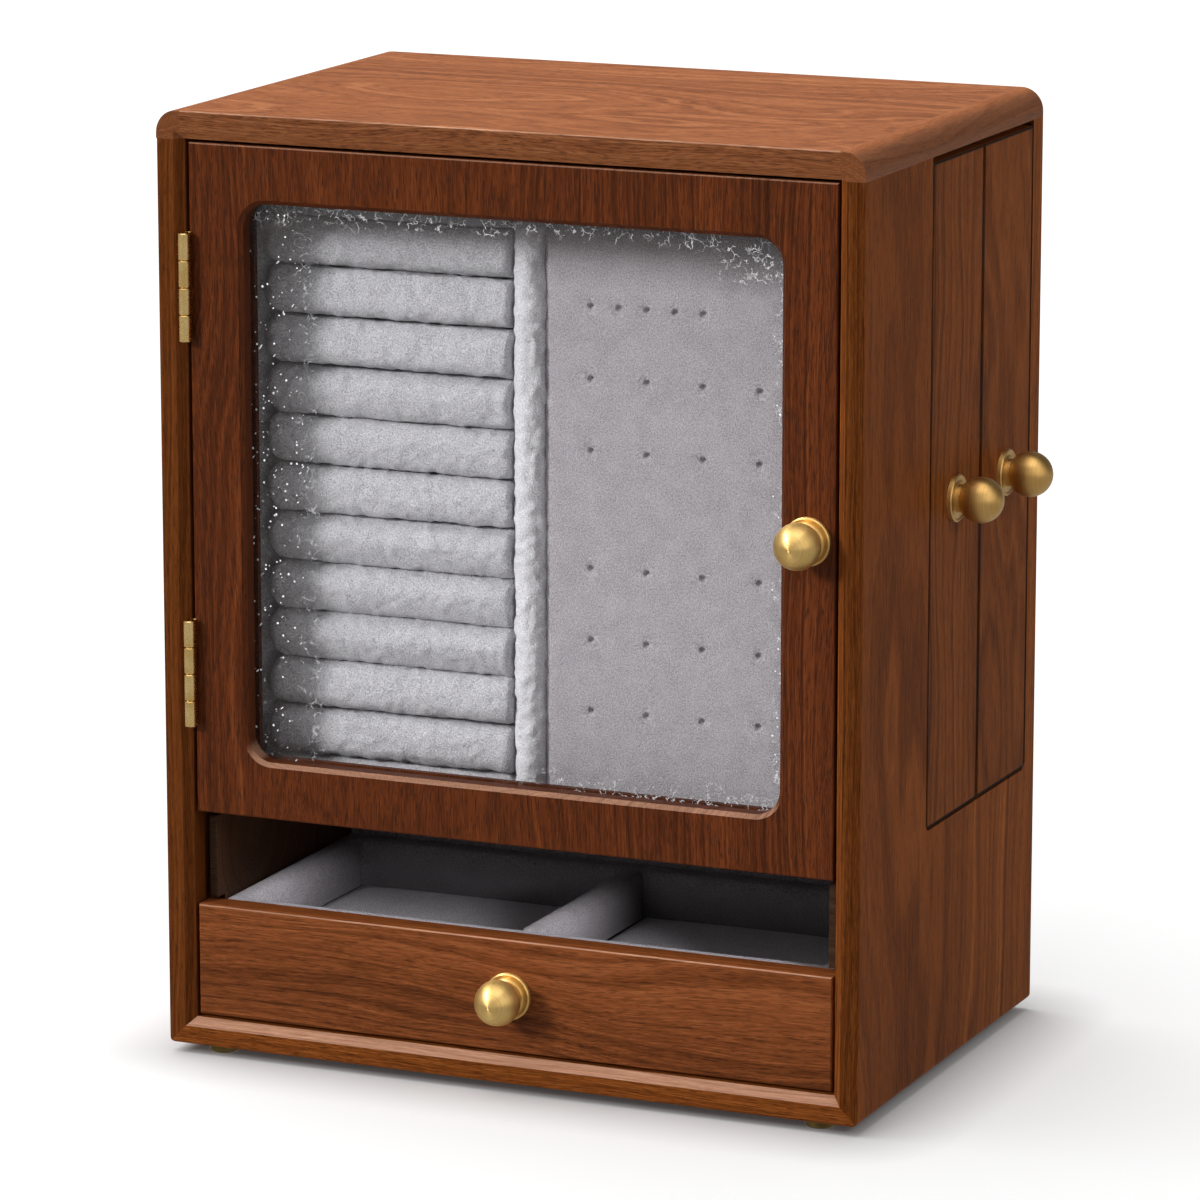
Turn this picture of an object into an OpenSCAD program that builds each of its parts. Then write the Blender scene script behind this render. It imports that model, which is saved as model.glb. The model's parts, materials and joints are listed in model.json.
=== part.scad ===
// Jewellery cabinet of walnut with a glazed door. Behind the door are ring rolls and
// an earring board, below it a velvet-lined drawer in an open bay, and in the right
// side two tall necklace pull-outs. Pieces are drawn from the lower left front corner
// of the carcass: x to the right, y to the back, z up. The part's origin is the middle
// of its whole footprint, knobs included, on the surface that it stands on.

/* [Carcass] */
// Width over the two sides
carcass_w = 260; // [235:1:340]
// Depth from the front edge to the back
carcass_d = 172; // [150:1:240]
// Height from the underside of the bottom to the top
carcass_h = 331; // [300:1:420]
// Thickness of the sides
side_t = 9.5; // [8:0.5:12]
// Thickness of the bottom
bottom_t = 9.5; // [8:0.5:12]
// Thickness of the top
top_t = 10; // [9:0.5:16]
// Thickness of the back panel
back_t = 5; // [3:0.5:7]
// Bevel on the inner front arris of top, sides and bottom
front_bevel = 3; // [2:0.25:4]
// Radius of the top's left and right edges
top_edge_r = 8; // [4:0.5:8.5]
// Width of the lippings that carry those edges
lipping_w = 9; // [8.5:0.5:14]
// Radius of the lower outer edges
bottom_edge_r = 2.5; // [1:0.5:5]
// Radius of the eased arrises
arris_r = 0.8; // [0.3:0.1:1.4]

/* [Feet] */
// Diameter of a foot
foot_d = 11; // [8:0.5:16]
// Height of a foot
foot_h = 3.5; // [2:0.5:8]
// Foot centre from the side
foot_inset_x = 17; // [9:0.5:40]
// Foot centre from the front and from the back
foot_inset_y = 9.5; // [8:0.5:40]
// Chamfer round the foot's sole
foot_chamfer = 0.6; // [0.2:0.1:1.5]

/* [Shelf and partition] */
// Height of the shelf's upper face above the underside of the carcass
shelf_z = 88; // [82:1:110]
// Thickness of the shelf
shelf_t = 7; // [5:0.5:9]
// Thickness of the partition behind the display
partition_t = 4; // [3:0.5:6]
// Distance from the front edge to the back of the partition
partition_back = 61.5; // [57:0.5:72]
// Thickness of the velvet-faced back of the drawer bay
bay_back_t = 4; // [3:0.5:8]

/* [Door] */
// Setback of the door and drawer faces from the front edge
face_setback = 3; // [2.5:0.25:4]
// Gap between the carcass and the door or drawer front
front_gap = 1.1; // [0.8:0.1:1.4]
// Thickness of the door
door_t = 12; // [11:0.5:14]
// How far the door covers the shelf's front edge
door_lap = 4; // [2:0.5:6]
// Width of the door's stiles and rails
stile_w = 20; // [18:0.5:26]
// Corner radius of the window
window_r = 9; // [4:0.5:14]
// Chamfer round the window
window_chamfer = 1.5; // [0.5:0.25:3]
// Depth from the door's face to the glass
reveal = 6.5; // [5:0.25:7]
// Width of the rebate that holds the glass
rebate_w = 5; // [3:0.5:7]
// Thickness of the glass
glass_t = 3; // [2:0.25:3.5]
// Gap round the glass and behind it
glass_clear = 0.3; // [0.1:0.05:0.4]
// Gap between the closed door and what stands behind it
door_stop_gap = 0.4; // [0.3:0.1:1]

/* [Hinges] */
// Length of a hinge
hinge_len = 38; // [30:1:50]
// Distance from the door's end to the hinge
hinge_end = 31; // [20:1:50]
// Diameter of the hinge barrel
barrel_d = 4.4; // [3.6:0.1:4.8]
// Gap between the barrel and the door's face
barrel_clear = 0.5; // [0.3:0.1:1]
// Thickness of a leaf
leaf_t = 1; // [0.8:0.1:1.2]
// Gap between the closed leaves
leaf_gap = 0.4; // [0.2:0.1:0.6]
// Reach of a leaf from the hinge axis
leaf_reach = 13.2; // [11:0.2:13.6]
// Diameter of the hinge pin
pin_d = 1.6; // [1.2:0.1:2]
// Running clearance round the pin
pin_clear = 0.05; // [0.02:0.01:0.1]
// Gap between two knuckles
knuckle_gap = 0.2; // [0.1:0.05:0.5]
// Distance between a leaf's two screws
leaf_screw_pitch = 22; // [16:1:26]

/* [Catch] */
// Diameter of the magnet
magnet_d = 6; // [4:0.5:8]
// Length of the magnet
magnet_len = 4; // [3:0.5:8]
// Diameter of the strike plate
strike_d = 8; // [6:0.5:10]
// Thickness of the strike plate
strike_t = 0.8; // [0.5:0.1:1.5]

/* [Knobs] */
// Diameter of a knob's ball
ball_d = 16; // [12:0.5:20]
// Centre of the ball from the face it stands on
ball_out = 9.5; // [8.5:0.25:14]
// Diameter of the knob's neck
neck_d = 9.8; // [7:0.1:11]
// Diameter of the knob's flange
flange_d = 16.6; // [12:0.2:18]
// Thickness of the flange
flange_t = 1.7; // [1.2:0.1:3]
// Diameter of the knob screw
knob_screw_d = 3.5; // [3:0.5:4.5]
// Height of the door knob above the door's lower edge
door_knob_z = 115.5; // [60:0.5:160]
// Height of the pull-out knobs above the lower edge of their fronts
pull_knob_z = 111.5; // [60:0.5:160]

/* [Drawer] */
// Height of the drawer front
drawer_front_h = 40; // [36:0.5:48]
// Thickness of the drawer front
drawer_front_t = 10; // [8:0.5:12]
// Depth of the drawer from the face of its front
drawer_d = 114.7; // [90:0.1:118]
// Height of the drawer box behind the front
drawer_box_h = 21.7; // [17:0.1:26]
// Drop from the front's upper edge to the rim of the box
rim_drop = 0.8; // [0.5:0.1:4]
// Thickness of the drawer's side and back walls
wall_t = 3; // [2.5:0.25:4]
// Thickness of the box's own front wall, behind the drawer front
inner_front_t = 5; // [3:0.25:10]
// Thickness of the drawer's bottom
drawer_bottom_t = 3; // [2:0.5:4]
// Thickness of the velvet lining on the walls
lining_t = 3.6; // [2.6:0.1:4]
// Rounding of the lining's inner rim
rim_r = 2; // [0.5:0.1:2.5]
// Thickness of the lining over the rim
lining_cap = 0.6; // [0.3:0.1:1]
// Thickness of the padded floors
pad_t = 3; // [1.5:0.5:4]
// Rounding of the padded floors' upper edges
pad_edge_r = 1.2; // [0.5:0.1:1.4]
// Width of the padded divider
divider_w = 9.4; // [5:0.2:14]
// Thickness of the liners beside the drawer
liner_t = 5.2; // [3.5:0.1:8]
// Distance from the front edge to the liners' ends, between door and drawer
liner_front = 10; // [6:0.5:14]
// Width of the slit between a liner's end and the side
liner_slit = 2.3; // [1:0.1:3]
// Depth of that slit
liner_slit_depth = 10; // [6:0.5:20]
// Width of the ledge that carries the drawer
ledge_w = 10; // [9:0.5:16]
// Running gap round the drawer and the pull-outs
run_gap = 0.3; // [0.2:0.05:0.6]

/* [Display] */
// Distance from the left side to the centre bolster
ring_w = 110.7; // [95:0.1:118]
// Width of the padded border at the left of the rings
ring_border_w = 15.5; // [8:0.5:24]
// Height of the padded sill under the rings
ring_sill_h = 13.3; // [8:0.1:20]
// Height of the padded header over the rings
ring_header_h = 11.4; // [6:0.1:18]
// Gap between two ring rolls
roll_gap = 0.36; // [0.3:0.02:0.8]
// Radius that rounds a roll's left end
roll_end_r = 6; // [2:0.5:6.5]
// Radius that rounds a roll's right end, which meets the bolster
roll_butt_r = 1.5; // [0.5:0.25:3]
// Distance from the door's back to the front of the rolls
roll_setback = 11.5; // [8:0.5:14]
// Thickness of the board behind the rolls
ring_board_t = 4; // [3:0.5:5]
// Distance from the front of the rolls to the front of the border
border_setback = 4; // [2:0.5:8]
// Rounding of the border's front edges
pad_round = 3.5; // [1:0.5:4]
// Width of the centre bolster
bolster_w = 10.8; // [8:0.2:14]
// Distance from the door's back to the front of the bolster
bolster_setback = 11; // [8:0.5:14]
// Distance from the door's back to the earring board
earring_setback = 16.7; // [16.2:0.1:28]
// Thickness of the earring board
earring_board_t = 3; // [2:0.5:5]
// Diameter of an earring hole
earring_hole_d = 2; // [1.5:0.1:3]
// Distance between two columns of earring holes
earring_pitch_x = 20.7; // [16:0.1:24]
// Distance between two rows of earring holes
earring_pitch_z = 25; // [18:0.5:27]
// Distance between the two groups of rows
earring_group_gap = 41; // [30:0.5:48]
// First column of earring holes from the bolster
earring_first_x = 17.2; // [8:0.1:18]
// Lowest row of earring holes above the shelf
earring_first_z = 38.8; // [24:0.1:42]

/* [Pull-outs] */
// Slit between a front and the edge of the opening
pull_slit = 0.8; // [0.5:0.1:1.2]
// Slit between the two fronts
pull_mid_slit = 1.4; // [0.8:0.1:2]
// Slit over the fronts
pull_top_slit = 2; // [1:0.25:4]
// Width of the side behind the opening
pull_back_stile = 9.5; // [9:0.5:20]
// Radius of the opening's lower corners
pull_corner_r = 3; // [1.5:0.5:6]
// Thickness of the frame that carries the necklaces
frame_t = 6; // [4:0.5:9]
// Width of the frame's posts
frame_post_w = 14; // [10:0.5:24]
// Height of the frame's rails
frame_rail_h = 18; // [12:0.5:26]
// Radius of the frame's inner corners
frame_corner_r = 8; // [3:0.5:12]
// Height of the guides that the frame runs between
guide_h = 4; // [3:0.5:6]
// Diameter of a necklace hook's wire
hook_d = 1.6; // [1.2:0.1:2.4]
// Radius of a hook's bend
hook_r = 3.5; // [3:0.25:5]
// Length of a hook's straight shank
hook_drop = 6; // [3:0.5:12]
// Number of hooks on a frame
hook_count = 6; // [3:1:8]
// Distance between two hooks
hook_pitch = 32; // [16:1:34]

/* [Hidden] */
$fn = 48;
ROLLS = 12;
roll_nodes = [for (i = [1:ROLLS]) str("ring_roll_", i < 10 ? "0" : "", i)];

// Colours of the materials
walnut = "#6f4127";
velvet = "#a9a8ac";
brass = "#b8924e";
polished_brass = "#e0b860";
steel = "#b5b7ba";
glass = [0.8, 0.85, 0.86, 0.35];

// Cutting tools reach this far past the faces that they open
over = 1;

// Inside faces of the carcass
in_x0 = side_t;
in_x1 = carcass_w - side_t;
in_back = carcass_d - back_t;
under_top = carcass_h - top_t;

// Door and drawer faces
door_x0 = in_x0 + front_gap;
door_x1 = in_x1 - front_gap;
door_z0 = shelf_z - door_lap;
door_z1 = under_top - front_gap;
door_back = face_setback + door_t;
behind_door = door_back + door_stop_gap;
win_x0 = door_x0 + stile_w;
win_x1 = door_x1 - stile_w;
win_z0 = door_z0 + stile_w;
win_z1 = door_z1 - stile_w;
glass_y = face_setback + reveal;
bead_y = glass_y + glass_t + glass_clear;
mitre_gap = 0.05;

// Knobs and their screws
ball_r = ball_d / 2;
knob_out = ball_out + ball_r;
knob_chamfer = 0.4;
dish_r = 1.6;
dish_depth = 0.4;
screw_sink = 2.4;
screw_head_h = 2.2;
screw_head_r = knob_screw_d;
screw_bite = 5.5;
screw_clear = 0.15;
thread_clear = 0.05;
slot_w = 0.8;
slot_depth = 0.9;
door_knob_x = door_x1 - stile_w / 2;
door_knob_h = door_z0 + door_knob_z;

// Hinges
hinge_x = (in_x0 + door_x0) / 2;
hinge_y = face_setback - barrel_clear - barrel_d / 2;
hinge_zs = [door_z0 + hinge_end, door_z1 - hinge_end - hinge_len];
KNUCKLES = 4;
knuckle_len = hinge_len / KNUCKLES;
knuckle_chamfer = 0.25;
barrel_recess = 0.25;
knuckle_clear = 0.4;
leaf_start = barrel_d / 2 + knuckle_clear;
leaf_screw_y = (leaf_start + leaf_reach) / 2;
leaf_screw_r = 0.9;
leaf_head_r = 1.9;
leaf_head_h = 0.9;
leaf_screw_len = 5.5;
leaf_slot_w = 0.5;
leaf_slot_depth = 0.4;

// Catch
catch_w = 16;
catch_h = 14;
catch_d = 14;
catch_x = win_x1;
magnet_proud = 0.2;
catch_z = under_top - catch_h / 2;

// Drawer
drawer_z0 = bottom_t + front_gap;
drawer_z1 = drawer_z0 + drawer_front_h;
drawer_back = face_setback + drawer_d;
drawer_front_back = face_setback + drawer_front_t;
box_x0 = in_x0 + liner_t + run_gap;
box_x1 = in_x1 - liner_t - run_gap;
rim_z = drawer_z1 - rim_drop;
box_z0 = rim_z - drawer_box_h;
tray_x0 = box_x0 + wall_t + lining_t;
tray_x1 = box_x1 - wall_t - lining_t;
inner_front_y = drawer_front_back + inner_front_t;
tray_y0 = inner_front_y + lining_t;
tray_y1 = drawer_back - wall_t - lining_t;
tray_floor = box_z0 + drawer_bottom_t;
bay_back_y = drawer_back + run_gap;
divider_x = carcass_w / 2;
divider_top_r = 2;
pad_gap = 0.2;

// Display
display_h = under_top - shelf_z;
roll_pitch = (display_h - ring_sill_h - ring_header_h) / ROLLS;
roll_r = (roll_pitch - roll_gap) / 2;
seat_gap = 0.3;
ring_x1 = in_x0 + ring_w;
roll_x0 = in_x0 + ring_border_w + seat_gap;
roll_x1 = ring_x1 - seat_gap;
roll_y = door_back + roll_setback + roll_r;
ring_board_y = roll_y + roll_r + seat_gap;
border_y = door_back + roll_setback + border_setback;
bolster_y = door_back + bolster_setback;
bolster_x1 = ring_x1 + bolster_w;
earring_y = door_back + earring_setback;
earring_x = bolster_x1 + earring_first_x;
earring_z = shelf_z + earring_first_z;
earring_rows = [0, 1, 2];
EARRING_COLS = 4;
earring_group_z = len(earring_rows) * earring_pitch_z - earring_pitch_z + earring_group_gap;

// Pull-outs
partition_clear = 1;
open_y1 = carcass_d - pull_back_stile;
open_y0 = partition_back + partition_clear;
pull_front_w = (open_y1 - open_y0 - 2 * pull_slit - pull_mid_slit) / 2;
partition_y0 = partition_back - partition_t;
pull_z0 = shelf_z + pull_slit;
pull_z1 = under_top - pull_top_slit;
frame_x0 = in_x0 + run_gap;
frame_z0 = shelf_z + run_gap;
frame_z1 = under_top - run_gap;
hook_seat = 3.5;
hook_hole_clear = 0.05;
hook_tip_r = hook_d * 0.65;
hook_mid_x = (frame_x0 + frame_post_w + in_x1 - frame_post_w) / 2;
hook_x0 = hook_mid_x - (hook_count - 1) * hook_pitch / 2;

// The part's origin
origin_x = (carcass_w + knob_out) / 2;
origin_y = (carcass_d + face_setback - knob_out) / 2;

function pull_y0(i) = open_y0 + pull_slit + i * (pull_front_w + pull_mid_slit);
function pull_mid(i) = pull_y0(i) + pull_front_w / 2;

// Moves a piece from the carcass corner to the part's origin
module place() {
  translate([-origin_x, -origin_y, foot_h]) children();
}

module box(x0, x1, y0, y1, z0, z1) {
  translate([x0, y0, z0]) cube([x1 - x0, y1 - y0, z1 - z0]);
}

// Extrudes a profile drawn in y and z along x
module along_x(x0, x1) {
  translate([x0, 0, 0]) rotate([90, 0, 90]) linear_extrude(x1 - x0) children();
}

// Extrudes a profile drawn in x and z along y
module along_y(y0, y1) {
  translate([0, y1, 0]) rotate([90, 0, 0]) linear_extrude(y1 - y0) children();
}

// Extrudes a profile drawn in x and y along z
module along_z(z0, z1) {
  translate([0, 0, z0]) linear_extrude(z1 - z0) children();
}

// What a corner loses when it is rounded; sa and sb point from the corner into the piece
module corner_waste(a, b, sa, sb, r) {
  if (r > 0) translate([a, b]) difference() {
    translate([sa > 0 ? -over : -r, sb > 0 ? -over : -r]) square(r + over);
    translate([sa * r, sb * r]) circle(r);
  }
}

// Rectangle whose corners may each be rounded
module eased_rect(a0, b0, a1, b1, r00 = 0, r10 = 0, r11 = 0, r01 = 0) {
  difference() {
    translate([a0, b0]) square([a1 - a0, b1 - b0]);
    corner_waste(a0, b0, 1, 1, r00);
    corner_waste(a1, b0, -1, 1, r10);
    corner_waste(a1, b1, -1, -1, r11);
    corner_waste(a0, b1, 1, -1, r01);
  }
}

// Board whose front arrises are eased all round
module eased_front(x0, x1, y0, y1, z0, z1, r) {
  intersection() {
    along_z(z0, z1) eased_rect(x0, y0, x1, y1, r00 = r, r10 = r);
    along_x(x0, x1) eased_rect(y0, z0, y1, z1, r00 = r, r01 = r);
  }
}

// Carcass
// The widening mouth that bevels the inner front arrises, mitred in its corners
module mouth() {
  flare = front_bevel + over;
  intersection() {
    along_z(0, carcass_h) polygon([
      [in_x0 - flare, -over], [in_x1 + flare, -over], [in_x1, front_bevel], [in_x0, front_bevel]]);
    along_x(0, carcass_w) polygon([
      [-over, bottom_t - flare], [front_bevel, bottom_t], [front_bevel, under_top],
      [-over, under_top + flare]]);
  }
}

module top_panel() {
  color(walnut) place() difference() {
    along_x(lipping_w, carcass_w - lipping_w)
      eased_rect(0, under_top, carcass_d, carcass_h, r01 = arris_r);
    mouth();
  }
}

module lipping() {
  difference() {
    intersection() {
      along_y(0, carcass_d) eased_rect(0, under_top, lipping_w, carcass_h, r01 = top_edge_r);
      along_x(0, lipping_w) eased_rect(0, under_top, carcass_d, carcass_h, r01 = arris_r);
    }
    mouth();
  }
}

module top_lippings() {
  color(walnut) place() {
    lipping();
    translate([carcass_w, 0, 0]) mirror([1, 0, 0]) lipping();
  }
}

// A side with its mitred foot, rounded lower edge and bevelled mouth
module side_board() {
  difference() {
    intersection() {
      along_y(0, carcass_d) difference() {
        polygon([[0, 0], [side_t, bottom_t], [side_t, under_top], [0, under_top]]);
        corner_waste(0, 0, 1, 1, bottom_edge_r);
      }
      along_z(0, under_top) eased_rect(0, 0, side_t, carcass_d, r00 = arris_r);
    }
    mouth();
  }
}

module left_side() {
  color(walnut) place() difference() {
    side_board();
    for (z = hinge_zs) translate([hinge_x, hinge_y, z]) {
      mirror([1, 0, 0]) leaf_mortise();
      cylinder(d = barrel_d + 2 * barrel_recess, h = hinge_len);
    }
  }
}

module right_side() {
  color(walnut) place() difference() {
    translate([carcass_w, 0, 0]) mirror([1, 0, 0]) side_board();
    along_x(in_x1 - over, carcass_w + over)
      eased_rect(open_y0, shelf_z, open_y1, under_top + over, r00 = pull_corner_r, r10 = pull_corner_r);
  }
}

module bottom_panel() {
  color(walnut) place() difference() {
    intersection() {
      along_y(0, carcass_d) difference() {
        polygon([[0, 0], [carcass_w, 0], [in_x1, bottom_t], [in_x0, bottom_t]]);
        corner_waste(0, 0, 1, 1, bottom_edge_r);
        corner_waste(carcass_w, 0, -1, 1, bottom_edge_r);
      }
      along_x(0, carcass_w) eased_rect(0, 0, carcass_d, bottom_t, r00 = arris_r);
    }
    mouth();
  }
}

module back_panel() {
  color(walnut) place() box(in_x0, in_x1, in_back, carcass_d, bottom_t, under_top);
}

module shelf() {
  color(walnut) place() box(in_x0, in_x1, behind_door, in_back, shelf_z - shelf_t, shelf_z);
}

module partition() {
  color(walnut) place() box(in_x0, in_x1, partition_y0, partition_back, shelf_z, under_top);
}

module bay_back() {
  color(velvet) place()
    box(in_x0, in_x1, bay_back_y, bay_back_y + bay_back_t, bottom_t, shelf_z - shelf_t);
}

// Liner on the side of the bay with the ledge that the drawer runs on. Between door and
// drawer its end comes forward, with a slit beside the carcass
module drawer_guide() {
  ledge_z = box_z0 - run_gap;
  liner_z1 = shelf_z - shelf_t;
  open_z = drawer_z1 + front_gap;
  difference() {
    along_y(liner_front, bay_back_y) polygon([
      [in_x0, bottom_t], [in_x0 + ledge_w, bottom_t], [in_x0 + ledge_w, ledge_z],
      [in_x0 + liner_t, ledge_z], [in_x0 + liner_t, liner_z1], [in_x0, liner_z1]]);
    box(in_x0 - over, in_x0 + ledge_w + over, liner_front - over, behind_door, bottom_t - over, open_z);
    box(in_x0 - over, in_x0 + liner_slit, liner_front - over, liner_front + liner_slit_depth,
      open_z, liner_z1 + over);
  }
}

module drawer_guides() {
  color(walnut) place() {
    drawer_guide();
    translate([carcass_w, 0, 0]) mirror([1, 0, 0]) drawer_guide();
  }
}

module feet() {
  sole_d = foot_d - 2 * foot_chamfer;
  color(brass) place()
    for (x = [foot_inset_x, carcass_w - foot_inset_x], y = [foot_inset_y, carcass_d - foot_inset_y])
      translate([x, y, -foot_h]) {
        cylinder(d1 = sole_d, d2 = foot_d, h = foot_chamfer);
        translate([0, 0, foot_chamfer]) cylinder(d = foot_d, h = foot_h - foot_chamfer);
      }
}

// Display
module ring_board() {
  color(velvet) place()
    box(in_x0, ring_x1, ring_board_y, ring_board_y + ring_board_t, shelf_z, under_top);
}

// Padded border on three sides of the rolls, its front edges rounded over the foam
module ring_border() {
  post_x = in_x0 + ring_border_w;
  sill_z = shelf_z + ring_sill_h;
  header_z = under_top - ring_header_h;
  color(velvet) place() difference() {
    box(in_x0, ring_x1, border_y, ring_board_y, shelf_z, under_top);
    box(post_x, ring_x1 + over, border_y - over, ring_board_y + over, sill_z, header_z);
    along_z(sill_z, header_z) corner_waste(post_x, border_y, -1, 1, pad_round);
    along_x(post_x, ring_x1 + over) {
      corner_waste(border_y, sill_z, 1, -1, pad_round);
      corner_waste(border_y, header_z, 1, 1, pad_round);
    }
    along_z(shelf_z - over, under_top + over) corner_waste(in_x0, border_y, 1, 1, pad_round);
    along_x(in_x0 - over, ring_x1 + over) {
      corner_waste(border_y, shelf_z, 1, 1, pad_round);
      corner_waste(border_y, under_top, 1, -1, pad_round);
    }
  }
}

// One padded roll with rounded ends, counted from the bottom
module ring_roll(i) {
  z = shelf_z + ring_sill_h + (i + 0.5) * roll_pitch;
  length = roll_x1 - roll_x0;
  color(velvet) place() translate([roll_x0, roll_y, z]) rotate([0, 90, 0])
    rotate_extrude() difference() {
      square([roll_r, length]);
      corner_waste(roll_r, 0, -1, 1, roll_end_r);
      corner_waste(roll_r, length, -1, -1, roll_butt_r);
    }
}

module centre_bolster() {
  nose = bolster_w / 2;
  color(velvet) place() along_z(shelf_z, under_top) union() {
    translate([ring_x1 + nose, bolster_y + nose]) circle(nose);
    translate([ring_x1, bolster_y + nose]) square([bolster_w, partition_y0 - bolster_y - nose]);
  }
}

module earring_holes() {
  top_row = earring_z + earring_group_z + 2 * earring_pitch_z;
  for (group = [0, 1], row = earring_rows, col = [0:EARRING_COLS - 1]) {
    z = earring_z + group * earring_group_z + row * earring_pitch_z;
    if (z < top_row) earring_hole(col, z);
  }
  for (half = [0:EARRING_COLS]) earring_hole(half / 2, top_row);
}

module earring_hole(col, z) {
  translate([earring_x + col * earring_pitch_x, earring_y - over, z])
    rotate([-90, 0, 0]) cylinder(d = earring_hole_d, h = earring_board_t + 2 * over, $fn = 24);
}

module earring_board() {
  color(velvet) place() difference() {
    box(bolster_x1, in_x1, earring_y, earring_y + earring_board_t, shelf_z, under_top);
    earring_holes();
  }
}

// Hinges, drawn round the hinge axis with the door's leaf towards +x
module knuckle(k) {
  bare = knuckle_len - knuckle_gap - 2 * knuckle_chamfer;
  tip_d = barrel_d - 2 * knuckle_chamfer;
  translate([0, 0, k * knuckle_len + knuckle_gap / 2]) {
    cylinder(d1 = tip_d, d2 = barrel_d, h = knuckle_chamfer);
    translate([0, 0, knuckle_chamfer]) cylinder(d = barrel_d, h = bare);
    translate([0, 0, knuckle_chamfer + bare]) cylinder(d1 = barrel_d, d2 = tip_d, h = knuckle_chamfer);
  }
}

// The gap-side face of a leaf, its hole centres and its countersinks
module leaf_screw_places() {
  for (s = [-1, 1])
    translate([leaf_gap / 2, leaf_screw_y, hinge_len / 2 + s * leaf_screw_pitch / 2])
      rotate([0, 90, 0]) children();
}

module leaf(first_knuckle, bore_d) {
  difference() {
    union() {
      box(leaf_gap / 2, leaf_gap / 2 + leaf_t, leaf_start, leaf_reach, 0, hinge_len);
      for (k = [first_knuckle:2:KNUCKLES - 1]) {
        knuckle(k);
        box(leaf_gap / 2, leaf_gap / 2 + leaf_t, 0, leaf_start,
          k * knuckle_len + knuckle_gap / 2, (k + 1) * knuckle_len - knuckle_gap / 2);
      }
    }
    translate([0, 0, -over]) cylinder(d = bore_d, h = hinge_len + 2 * over);
    leaf_screw_places() {
      translate([0, 0, -over]) cylinder(r = leaf_screw_r + screw_clear, h = leaf_t + 2 * over);
      cylinder(r1 = leaf_head_r + thread_clear, r2 = leaf_screw_r + thread_clear, h = leaf_head_h);
    }
  }
}

// Space that a leaf and its screws take out of the wood
module leaf_mortise() {
  box(-over - front_gap / 2, leaf_gap / 2 + leaf_t, -barrel_d, leaf_reach, 0, hinge_len);
  leaf_screw_places()
    cylinder(r = leaf_screw_r + thread_clear, h = leaf_head_h + leaf_screw_len + thread_clear);
}

module leaf_screws() {
  leaf_screw_places() difference() {
    union() {
      cylinder(r1 = leaf_head_r, r2 = leaf_screw_r, h = leaf_head_h);
      translate([0, 0, leaf_head_h]) cylinder(r = leaf_screw_r, h = leaf_screw_len - leaf_screw_r);
      translate([0, 0, leaf_head_h + leaf_screw_len - leaf_screw_r])
        cylinder(r1 = leaf_screw_r, r2 = leaf_screw_r / 3, h = leaf_screw_r);
    }
    translate([-leaf_head_r, -leaf_slot_w / 2, -over])
      cube([2 * leaf_head_r, leaf_slot_w, leaf_slot_depth + over]);
  }
}

module at_hinges() {
  for (z = hinge_zs) translate([hinge_x, hinge_y, z]) children();
}

module hinge_frame_leaves() {
  color(polished_brass) place() at_hinges() mirror([1, 0, 0]) leaf(0, pin_d);
}

module hinge_door_leaves() {
  color(polished_brass) place() at_hinges() leaf(1, pin_d + 2 * pin_clear);
}

module hinge_pins() {
  color(polished_brass) place() at_hinges() translate([0, 0, knuckle_gap / 2])
    cylinder(d = pin_d, h = hinge_len - knuckle_gap);
}

module hinge_frame_screws() {
  color(polished_brass) place() at_hinges() mirror([1, 0, 0]) leaf_screws();
}

module hinge_door_screws() {
  color(polished_brass) place() at_hinges() leaf_screws();
}

// Catch
module catch_block() {
  color(walnut) place() difference() {
    box(catch_x - catch_w / 2, catch_x + catch_w / 2, behind_door + magnet_proud, behind_door + catch_d,
      under_top - catch_h, under_top);
    translate([catch_x, behind_door + magnet_len, catch_z])
      rotate([90, 0, 0]) cylinder(d = magnet_d, h = magnet_len);
  }
}

module catch_magnet() {
  color(steel) place() translate([catch_x, behind_door + magnet_len, catch_z])
    rotate([90, 0, 0]) cylinder(d = magnet_d, h = magnet_len);
}

module strike_plate() {
  color(steel) place() translate([catch_x, door_back, catch_z])
    rotate([90, 0, 0]) cylinder(d = strike_d, h = strike_t);
}

// Knobs, drawn upright with the face they stand on at z = 0
module flange() {
  rim_r = flange_d / 2;
  groove_r = (rim_r + neck_d / 2) / 2;
  difference() {
    union() {
      cylinder(r = rim_r, h = flange_t - knob_chamfer);
      translate([0, 0, flange_t - knob_chamfer])
        cylinder(r1 = rim_r, r2 = rim_r - knob_chamfer, h = knob_chamfer);
    }
    translate([0, 0, flange_t + dish_r - dish_depth])
      rotate_extrude() translate([groove_r, 0]) circle(dish_r);
  }
}

module knob() {
  difference() {
    union() {
      flange();
      cylinder(d = neck_d, h = ball_out);
      translate([0, 0, ball_out]) sphere(ball_r);
    }
    translate([0, 0, -over])
      cylinder(d = knob_screw_d + 2 * thread_clear, h = screw_bite + thread_clear + over);
  }
}

// Screw through a board of thickness t into a knob on its face, head sunk in its back
module knob_screw(t) {
  translate([0, 0, screw_sink - t]) difference() {
    union() {
      translate([0, 0, -screw_head_h]) cylinder(r = screw_head_r, h = screw_head_h);
      cylinder(d = knob_screw_d, h = t - screw_sink + screw_bite);
    }
    translate([-screw_head_r - over, -slot_w / 2, -screw_head_h - over])
      cube([2 * screw_head_r + 2 * over, slot_w, slot_depth + over]);
  }
}

module knob_hole(t) {
  translate([0, 0, -t - over]) {
    cylinder(d = knob_screw_d + 2 * screw_clear, h = t + 2 * over);
    cylinder(r = screw_head_r + screw_clear, h = screw_sink + over);
  }
}

// Turns a knob to face the front
module on_front(x, z) {
  translate([x, face_setback, z]) rotate([90, 0, 0]) children();
}

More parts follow.
